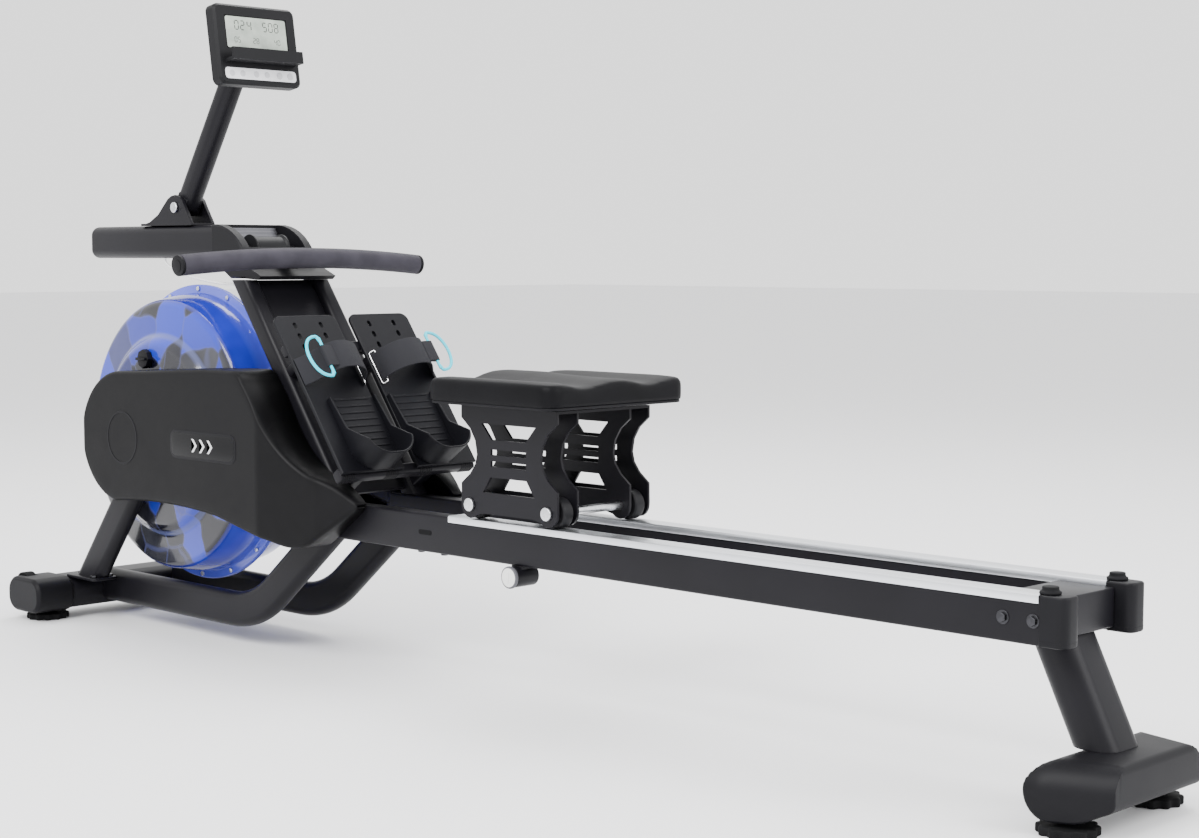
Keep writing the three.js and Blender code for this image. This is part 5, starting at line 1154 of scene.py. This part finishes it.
ALONG_Y = lambda p, q, r: on_slope(p, r, q)
ON_SLOPE = lambda p, q, r: on_slope(p, q, r)
ACROSS_SLOPE = lambda p, q, r: on_slope(r, p, q)
beam_section = rounded_rect(0.035, 0.0298, 0.009, 8) + (-0.0025, 0)
TOP_Z = 0.6155
parts = [plate(rounded_rect(0.4215, 0.1185, 0.002, 3) + (0.19875, 0), -0.006, 0.0, 0.001, ON_SLOPE)]
for _, s in SIDES:
    beam = carried([on_slope(k, s * BEAM_Y, 0) for k in (0.0, 0.2, 0.41)], beam_section)
    beam = cut_level(beam, len(beam_section), UP, 0.2667)
    parts.append(cut_level(beam, len(beam_section), UP, TOP_Z, first=False))
    for at in (-0.008, 0.214):
        arm = plate(rounded_rect(0.018, 0.022, 0.003, 4) + (at, s * 0.0738), 0.0, 0.0715, 0.001, ON_SLOPE)
        parts.append(arm)
for at, half in ((-0.022, 0.138), (0.214, 0.130)):
    outline = rounded_rect(0.0198, 0.0178, 0.005, 6) + (at, 0.0787)
    parts.append(plate(outline, -half, half, 0.002, ALONG_Y))
piece("incline_frame", joined(*parts), "frame", "frame_paint", frame_coat, "incline_frame")
bar_sleeves = []
for _, s in SIDES:
    for y in (0.022, 0.110):
        ribs = [plate(rounded_rect(0.0212, 0.0192, 0.0056, 6) + (-0.022, 0.0787),
                      *sorted((s * (y + k), s * (y + k + 0.003))),
                      0.0008, ALONG_Y) for k in np.arange(0, 0.026, 0.0045)]
        bar_sleeves += ribs
piece("bar_ribs", joined(*bar_sleeves), "frame", "moulded_black", frame_plastic)
for side, s in SIDES:
    name = f"footplate_{side}"
    from_solid(name, name, "frame", "moulded_black", pedal_plastic, 0.0009)

# %% [markdown]
# The heel cup is a thin moulded tray: a U in plan whose wall is 50 mm high round the heel and runs down
# to a low rim towards the toe. The wall is one grid of C-shaped ribs along the U; the floor is a plate
# with treads.

# %% Heel cups
HEEL_MIDDLE, HEEL_HALF = 0.0605, 0.0463
heel_radius = 0.82 * HEEL_HALF
turn_back = np.linspace(math.pi / 2, math.pi, 16)
low_a = -0.0258 + heel_radius
half_u = np.stack([low_a + heel_radius * np.cos(turn_back), HEEL_HALF - heel_radius + heel_radius
                   * np.sin(turn_back)], -1)
half_u = np.vstack([np.stack([np.linspace(0.1075, low_a + 0.002, 30), np.full(30, HEEL_HALF)], -1), half_u])
heel_u = np.vstack([half_u, half_u[::-1] * (1, -1)])
u_way = np.gradient(heel_u, axis=0)
u_way /= np.linalg.norm(u_way, axis=1, keepdims=True)
inward = np.stack([-u_way[:, 1], u_way[:, 0]], -1)
inward *= np.sign(((np.array([0.04, 0]) - heel_u) * inward).sum(1, keepdims=True))
wall_height = np.interp(heel_u[:, 0], [0.004, 0.024, 0.044, 0.112], [0.050, 0.033, 0.016, 0.0095])
WALL = 0.0034
lip = np.linspace(0, math.pi, 7)
rib_in = np.r_[0, WALL / 2 - WALL / 2 * np.cos(lip), WALL]
lip_lift = np.r_[np.sin(lip) * WALL / 2]
rib_height = np.hstack([np.zeros((len(heel_u), 1)), wall_height[:, None] - WALL / 2 + lip_lift[None, :],
                        np.zeros((len(heel_u), 1))])
wall_a = heel_u[:, :1] + inward[:, :1] * rib_in
wall_y = heel_u[:, 1:] + inward[:, 1:] * rib_in
BASE_B = 0.0954
tread_rows = [plate(rounded_rect(0.003, 0.070, 0.0014, 4) + (a, 0), BASE_B + 0.003, BASE_B + 0.0046, 0.0006,
                    LYING)
              for a in np.arange(0.004, 0.105, 0.0125)]
for side, s in SIDES:
    wall_points = on_slope(wall_a, s * (HEEL_MIDDLE + wall_y), BASE_B + rib_height).reshape(-1, 3)
    wall_faces = grid_faces(*wall_a.shape)
    wall_faces += [list(range(wall_a.shape[1])), list(range(wall_a.size - wall_a.shape[1], wall_a.size))]
    floor_outline = heel_u + inward * 0.0010
    place_tray = lambda p, q, r: on_slope(p, s * (HEEL_MIDDLE + q), r)
    tray = plate(floor_outline, BASE_B, BASE_B + 0.0034, 0.0004, place_tray)
    treads = [(on_slope(t[0][:, 0], s * (HEEL_MIDDLE + t[0][:, 1]), t[0][:, 2]), t[1]) for t in tread_rows]
    name = f"heel_cup_{side}"
    piece(name, joined((wall_points, wall_faces), tray, *treads), name, "moulded_black", pedal_plastic,
          name)

# %% [markdown]
# A wide woven strap arches over each foot. It is stiff enough to hold its own shape, so its path is drawn
# directly and a thin flat section is carried along it. A wire buckle at its inner end and a cyan pull
# ring on the outside tighten it.

# %% Foot straps, buckles and pull rings
ARCH = np.array([(0.0205, 0.0962), (0.0210, 0.104), (0.0250, 0.1180), (0.0400, 0.1365), (0.0650, 0.1476),
                 (0.0872, 0.1461),
                 (0.0990, 0.1368), (0.1108, 0.1211), (0.1248, 0.1041), (0.1355, 0.0962)])
arch_line = even_spacing(softened(ARCH, 0.012, closed=False, steps=8), 72, closed=False)
arch_length = float(np.linalg.norm(np.diff(arch_line, axis=0), axis=1).sum())
STRAP_MIDDLE = 0.161
strap_band = rounded_rect(0.0027, 0.0496, 0.0012, 4)
cyan_plastic = moulded("pull_ring_cyan", (0.02, 0.52, 0.66), 0.32, 0.0009, 0.00003, 1.15)
ring_turn = np.linspace(0, math.pi, 40)
ring_a = STRAP_MIDDLE - 0.037 * np.cos(ring_turn)
ring_y = 0.1136 + 0.030 * np.sin(ring_turn) ** 0.8
ring_plan = np.vstack([[(STRAP_MIDDLE - 0.027, 0.1096)], np.stack([ring_a, ring_y], -1),
                       [(STRAP_MIDDLE + 0.027, 0.1096)]])
ring_plan = even_spacing(softened(ring_plan, 0.004, closed=False, steps=4), 90, closed=False)
wire_plan = even_spacing(softened([(-0.030, -0.0075), (0.030, -0.0075), (0.030, 0.0075), (-0.030, 0.0075)],
                                  0.004), 64)
for side, s in SIDES:
    centre = on_slope(STRAP_MIDDLE, s * arch_line[:, 0], arch_line[:, 1])
    shell = carried(centre, strap_band, across=UP)
    lengthwise = np.repeat(np.linspace(0, arch_length, len(arch_line)), len(strap_band))
    crosswise = np.tile(strap_band[:, 1], len(arch_line))
    strap = piece(f"foot_strap_{side}", shell, "frame", "webbing", webbing, f"foot_strap_{side}",
                  uv=np.stack([lengthwise, crosswise], -1))
    ring_points = on_slope(ring_plan[:, 0], s * ring_plan[:, 1], 0.141)
    ring_shell = carried(*soft_ended(ring_points, circle(0.0026, 16), 0.001), across=OUT)
    ring_bar = bar(on_slope(STRAP_MIDDLE - 0.034, s * 0.1099, 0.141),
                   on_slope(STRAP_MIDDLE + 0.034, s * 0.1099, 0.141),
                   circle(0.0024, 16), 0.0006)
    ring_shell = joined(ring_shell, ring_bar)
    tab_outline = softened([(0.0930, 0.1385), (0.1145, 0.1375), (0.1145, 0.1445), (0.0930, 0.1440)], 0.0024)
    tab = plate(tab_outline * (s, 1), STRAP_MIDDLE - 0.019, STRAP_MIDDLE + 0.019, 0.0006, ACROSS_SLOPE)
    piece(f"ring_tab_{side}", tab, "frame", "webbing", webbing, uv=tab[0][:, 1:])
    piece(f"pull_ring_{side}", ring_shell, f"pull_ring_{side}", "ring_cyan", cyan_plastic,
          f"pull_ring_{side}")
    wire_points = on_slope(STRAP_MIDDLE + wire_plan[:, 0], s * (0.0215 + wire_plan[:, 1] * 0.4),
                           0.1010 + wire_plan[:, 1] * 0.6)
    wire = carried(wire_points, circle(0.0012, 12), across=OUT, closed=True)
    piece(f"buckle_{side}", wire, "frame", "axle_steel", bright_wire)
    buckle_bar = bar(on_slope(STRAP_MIDDLE - 0.029, s * 0.0215, 0.0985),
                     on_slope(STRAP_MIDDLE + 0.029, s * 0.0215, 0.0985),
                     circle(0.0028, 20), 0.0008)
    piece(f"buckle_bar_{side}", buckle_bar, "frame", "moulded_black", frame_plastic)
print("foot straps", round(arch_length, 4), "m over the foot")

# %% [markdown]
# ## Seat carriage
# The seat rides on four rollers between welded side plates shaped like a bow tie. The plates are laser
# cut, so the engineering outline is kept and its edges are broken. The axle bolts have bright round heads
# with a hexagon socket.

# %% Carriage, axles and rollers
from_solid("seat_carriage", "seat_carriage", "seat", "frame_paint", frame_coat, 0.0007)
AXLE_Z = 0.2906
SEAT_ROLLER = [(0.0063, -0.0100), (0.0200, -0.0100), (0.0220, -0.0080), (0.0220, 0.0080), (0.0200, 0.0100),
               (0.0063, 0.0100), (0.0063, -0.0100)]
for place, x in (("front", 0.030), ("rear", 0.193)):
    axle_parts = [disc(0.0060, -0.0955, 0.0955, (x, 0, AXLE_Z), 0.0008, "y", 32)]
    for side, s in SIDES:
        axle_parts.append(for_side(disc(0.0099, 0.0957, 0.1009, (x, 0, AXLE_Z), 0.0016, "y", 48), s))
        axle_parts.append(for_side(disc(0.0042, 0.1000, 0.10085, (x, 0, AXLE_Z), 0.0002, "y", 6), s))
        name = f"roller_{place}_{side}"
        wheel = turned(soft_profile(SEAT_ROLLER, 0.0010), (x, s * BEAM_Y, AXLE_Z), "y", 72)
        piece(name, wheel, name, "roller_plastic", roller_plastic, name)
    piece(f"axle_{place}", joined(*axle_parts), "seat", "axle_steel", zinc, f"axle_{place}")

# %% [markdown]
# ## Seat pad
# The pad is thick foam under a stretched skin, with upright sides, a hollow for each thigh and a ridge
# that rises to the front. The skin starts as that form, a little small; then it is inflated as cloth with
# its lower edge held, which rounds the rims and tightens the corners. What the cloth may move is capped,
# so the pad keeps its size.

# %% Seat
def skin_finish():
    """Leather-like skin: Voronoi pebbles 1.6 mm across over soft wrinkles, with colour and gloss varied
    by a slow cloud."""
    skin = Finish("seat_skin", (0.003, 0.003, 0.004), 0.5, Specular_IOR_Level=0.08)
    spot = skin.place()
    pebble = skin.node("TexVoronoi", {"feature": "SMOOTH_F1"},
                       {"Vector": spot, "Scale": 620.0, "Smoothness": 0.7})
    wrinkle = skin.noise(spot, 45.0, 4.0, 0.55)
    wear = skin.noise(spot, 8.0, 3.0)
    skin.set("Base Color", skin.mix((0.0022, 0.0022, 0.0028), (0.0045, 0.0044, 0.0054),
                                    wear.above(0.35, 0.35)))
    skin.set("Roughness", wear * 0.16 + 0.42)
    skin.bump(pebble * 0.5 + wrinkle, 0.0006, 0.35)
    return skin.material


seat_skin = skin_finish()
SEAT_MIDDLE = (0.1125, 0.0)
PAD_LOW, PAD_SEAM = 0.4412, 0.4440
seat_plan = even_spacing(rounded_rect(0.272, 0.286, 0.026, 14), 176)
pan = plate(shrunk(seat_plan, 0.004) + SEAT_MIDDLE, PAD_LOW, PAD_SEAM + 0.001, 0.001, LYING)
piece("seat_pan", pan, "seat", "moulded_black", frame_plastic)


def crown(x, y):
    """z = z0 - h exp(-((|y| - c) / w)^2) + g f^2 exp(-(y / v)^2): two hollows and a ridge, f rising to
    the front."""
    forward = np.clip((0.10 - x) / 0.1344, 0, 1)
    hollow = 0.0085 * np.exp(-(((np.abs(y) - 0.066) / 0.034) ** 2))
    return 0.4785 - hollow + 0.0045 * forward**2 * np.exp(-((y / 0.045) ** 2))


PAD_RIM, PAD_WALL = 0.009, 0.74
side_turn = np.linspace(0, math.pi / 2, 9)
inset = 0.0015 + PAD_RIM * (1 - np.cos(side_turn))
rings = [shrunk(seat_plan, d) for d in np.r_[0.012, 0.0015, inset]]
flat_rings = [rings[-1] * k for k in np.linspace(1, 0.0, 16)[1:]]
plan_rings = np.array([rings[0] * 0.0] + rings + flat_rings)
lift = np.r_[0, 0, 0, PAD_WALL + (1 - PAD_WALL) * np.sin(side_turn), np.ones(len(flat_rings))]
pad_z = PAD_SEAM + (crown(plan_rings[..., 0], plan_rings[..., 1]) - PAD_SEAM) * lift[:, None]
pad_points = np.concatenate([plan_rings + SEAT_MIDDLE, pad_z[..., None]], -1)
pad_shell = (pad_points.reshape(-1, 3), grid_faces(*pad_z.shape))


def inflated(obj, voxel, pressure, most, keep_below):
    """Remeshes the closed form, inflates it as cloth for 20 frames with everything below a height held, and
    moves each point at most that far: p' = p + d min(1, most / |d|)."""
    remesh = obj.modifiers.new("remesh", "REMESH")
    remesh.mode = "VOXEL"
    remesh.voxel_size = voxel
    depsgraph = bpy.context.evaluated_depsgraph_get()
    obj.data = bpy.data.meshes.new_from_object(obj.evaluated_get(depsgraph))
    obj.modifiers.clear()
    count = len(obj.data.vertices)
    start = np.empty(3 * count)
    obj.data.vertices.foreach_get("co", start)
    start = start.reshape(-1, 3)
    held = obj.vertex_groups.new(name="held")
    held.add(np.flatnonzero(start[:, 2] < keep_below).tolist(), 1.0, "REPLACE")
    cloth = obj.modifiers.new("cloth", "CLOTH")
    cloth.settings.quality = 5
    cloth.settings.mass = 0.3
    cloth.settings.tension_stiffness = 40
    cloth.settings.compression_stiffness = 40
    cloth.settings.bending_stiffness = 4
    cloth.settings.use_pressure = True
    cloth.settings.uniform_pressure_force = pressure
    cloth.settings.vertex_group_mass = "held"
    cloth.settings.effector_weights.gravity = 0
    for frame_number in range(1, 21):
        bpy.context.scene.frame_set(frame_number)
    depsgraph = bpy.context.evaluated_depsgraph_get()
    moved = obj.evaluated_get(depsgraph).to_mesh()
    ended = np.empty(3 * count)
    moved.vertices.foreach_get("co", ended)
    obj.evaluated_get(depsgraph).to_mesh_clear()
    shift = ended.reshape(-1, 3) - start
    far = np.linalg.norm(shift, axis=1, keepdims=True)
    shift *= np.minimum(1, most / np.maximum(far, 1e-9))
    obj.modifiers.clear()
    obj.vertex_groups.clear()
    obj.data.vertices.foreach_set("co", (start + shift).ravel())
    obj.data.update()
    bpy.context.scene.frame_set(1)
    return float(far.max()), float(np.linalg.norm(shift, axis=1).max())


cushion = piece("seat_pad", pad_shell, "seat", "seat_skin", seat_skin, "seat_pad")
furthest, kept = inflated(cushion, 0.0045, 1.5, 0.0025, PAD_SEAM + 0.004)
print("cloth moved", round(furthest, 4), "m, kept", round(kept, 4))
cushion.data.polygons.foreach_set("use_smooth", np.ones(len(cushion.data.polygons), bool))
cushion.data.materials.clear()
cushion.data.materials.append(seat_skin)
smooth = cushion.modifiers.new("smooth", "SMOOTH")
smooth.factor = 0.5
smooth.iterations = 4
finer = cushion.modifiers.new("finer", "SUBSURF")
finer.levels = finer.render_levels = 1

# %% [markdown]
# ## Small parts
# What is left is fixings: the bolts through the rail ends with their washers, a thin near-black sheet
# that paints the shade inside each rail's adjusting slot, the screws under the rails, and the white seat
# lock.

# %% Fixings
RAIL_SIDE = 0.0888
bolts = []
for x in (0.949, 0.990):
    bolts += [disc(0.0085, RAIL_SIDE - 0.0004, RAIL_SIDE + 0.0012, (x, 0, 0.237), 0.0004, "y", 40),
              disc(0.0062, RAIL_SIDE + 0.0008, RAIL_SIDE + 0.0050, (x, 0, 0.237), 0.0010, "y", 6)]
# A thin sheet on the rail's outer face, painted near-black as the shade inside the adjusting slot.
slot_shade_sheet = plate(rounded_rect(0.030, 0.0075, 0.0037, 8) + (-0.081, 0.238), RAIL_SIDE - 0.0003,
                  RAIL_SIDE + 0.0004, 0.0002)
under = [disc(0.0055, 0.2040, 0.2084, (x, BEAM_Y, 0), 0.0012, "z", 24) for x in (-0.107, -0.054)]
white_plastic = moulded("knob_white", (0.72, 0.72, 0.71), 0.4, 0.0009, 0.00003, 1.08)
for side, s in SIDES:
    piece(f"rail_bolts_{side}", for_side(joined(*bolts), s), "frame", "axle_steel", black_screw)
    piece(f"rail_slot_shade_{side}", for_side(slot_shade_sheet, s), "frame", "moulded_black", slot_shade_painted)
    piece(f"rail_screws_{side}", for_side(joined(*under), s), "frame", "axle_steel", black_screw)
knob_face = disc(0.0164, -0.1020, -0.0964, (LOCK_X, 0, LOCK_Z), 0.0020, "y", 64)
knob_hub = disc(0.0060, -0.0968, -0.0745, (LOCK_X, 0, LOCK_Z), 0.0006, "y", 32)
piece("lock_knob", joined(knob_face, knob_hub), "lock_knob", "moulded_black", grey_plastic, "lock_knob")
knob_disc = joined(disc(0.0138, -0.1023, -0.1015, (LOCK_X, 0, LOCK_Z), 0.0004, "y", 64),
                   plate(rounded_rect(0.0030, 0.016, 0.0014, 5) + (LOCK_X, LOCK_Z), -0.1035, -0.1018,
                         0.0006))
piece("lock_face", knob_disc, "lock_knob", "knob_white", white_plastic)

# %% [markdown]
# ## Floor and light
# A plain pale floor and a near-white world stand in for a studio cove. One large soft light from the
# rider's left and above draws the long highlights on the tubes, and a second one opens the shadows on the
# far side.

# %% Floor, world and lights
floor_mesh = bpy.data.meshes.new("floor")
floor_mesh.from_pydata([(-30, -30, 0), (30, -30, 0), (30, 30, 0), (-30, 30, 0)], [], [(0, 1, 2, 3)])
floor = bpy.data.objects.new("floor", floor_mesh)
bpy.context.scene.collection.objects.link(floor)
paper = Finish("floor_paper", (0.82, 0.82, 0.83), 0.75)
paper.set("Roughness", paper.noise(paper.place(), 3.0, 3.0) * 0.1 + 0.7)
floor.data.materials.append(paper.material)
world = bpy.data.worlds.new("studio")
world.use_nodes = True
world.node_tree.nodes["Background"].inputs["Color"].default_value = (1.0, 1.0, 1.0, 1)
world.node_tree.nodes["Background"].inputs["Strength"].default_value = 1.8
bpy.context.scene.world = world


def soft_light(name, place, aim, size, watts):
    """A square area light that faces the aim point."""
    data = bpy.data.lights.new(name, "AREA")
    data.size = size
    data.energy = watts
    light = bpy.data.objects.new(name, data)
    light.location = place
    light.rotation_euler = (Vector(place) - Vector(aim)).to_track_quat("Z", "Y").to_euler()
    bpy.context.scene.collection.objects.link(light)
    return light


soft_light("key", (0.6, -3.2, 3.4), (-0.1, 0, 0.3), 2.4, 260)
soft_light("fill", (3.6, 0.8, 2.4), (0.0, 0, 0.4), 2.0, 120)
soft_light("top", (-1.2, 1.4, 3.6), (-0.4, 0, 0.4), 2.6, 130)
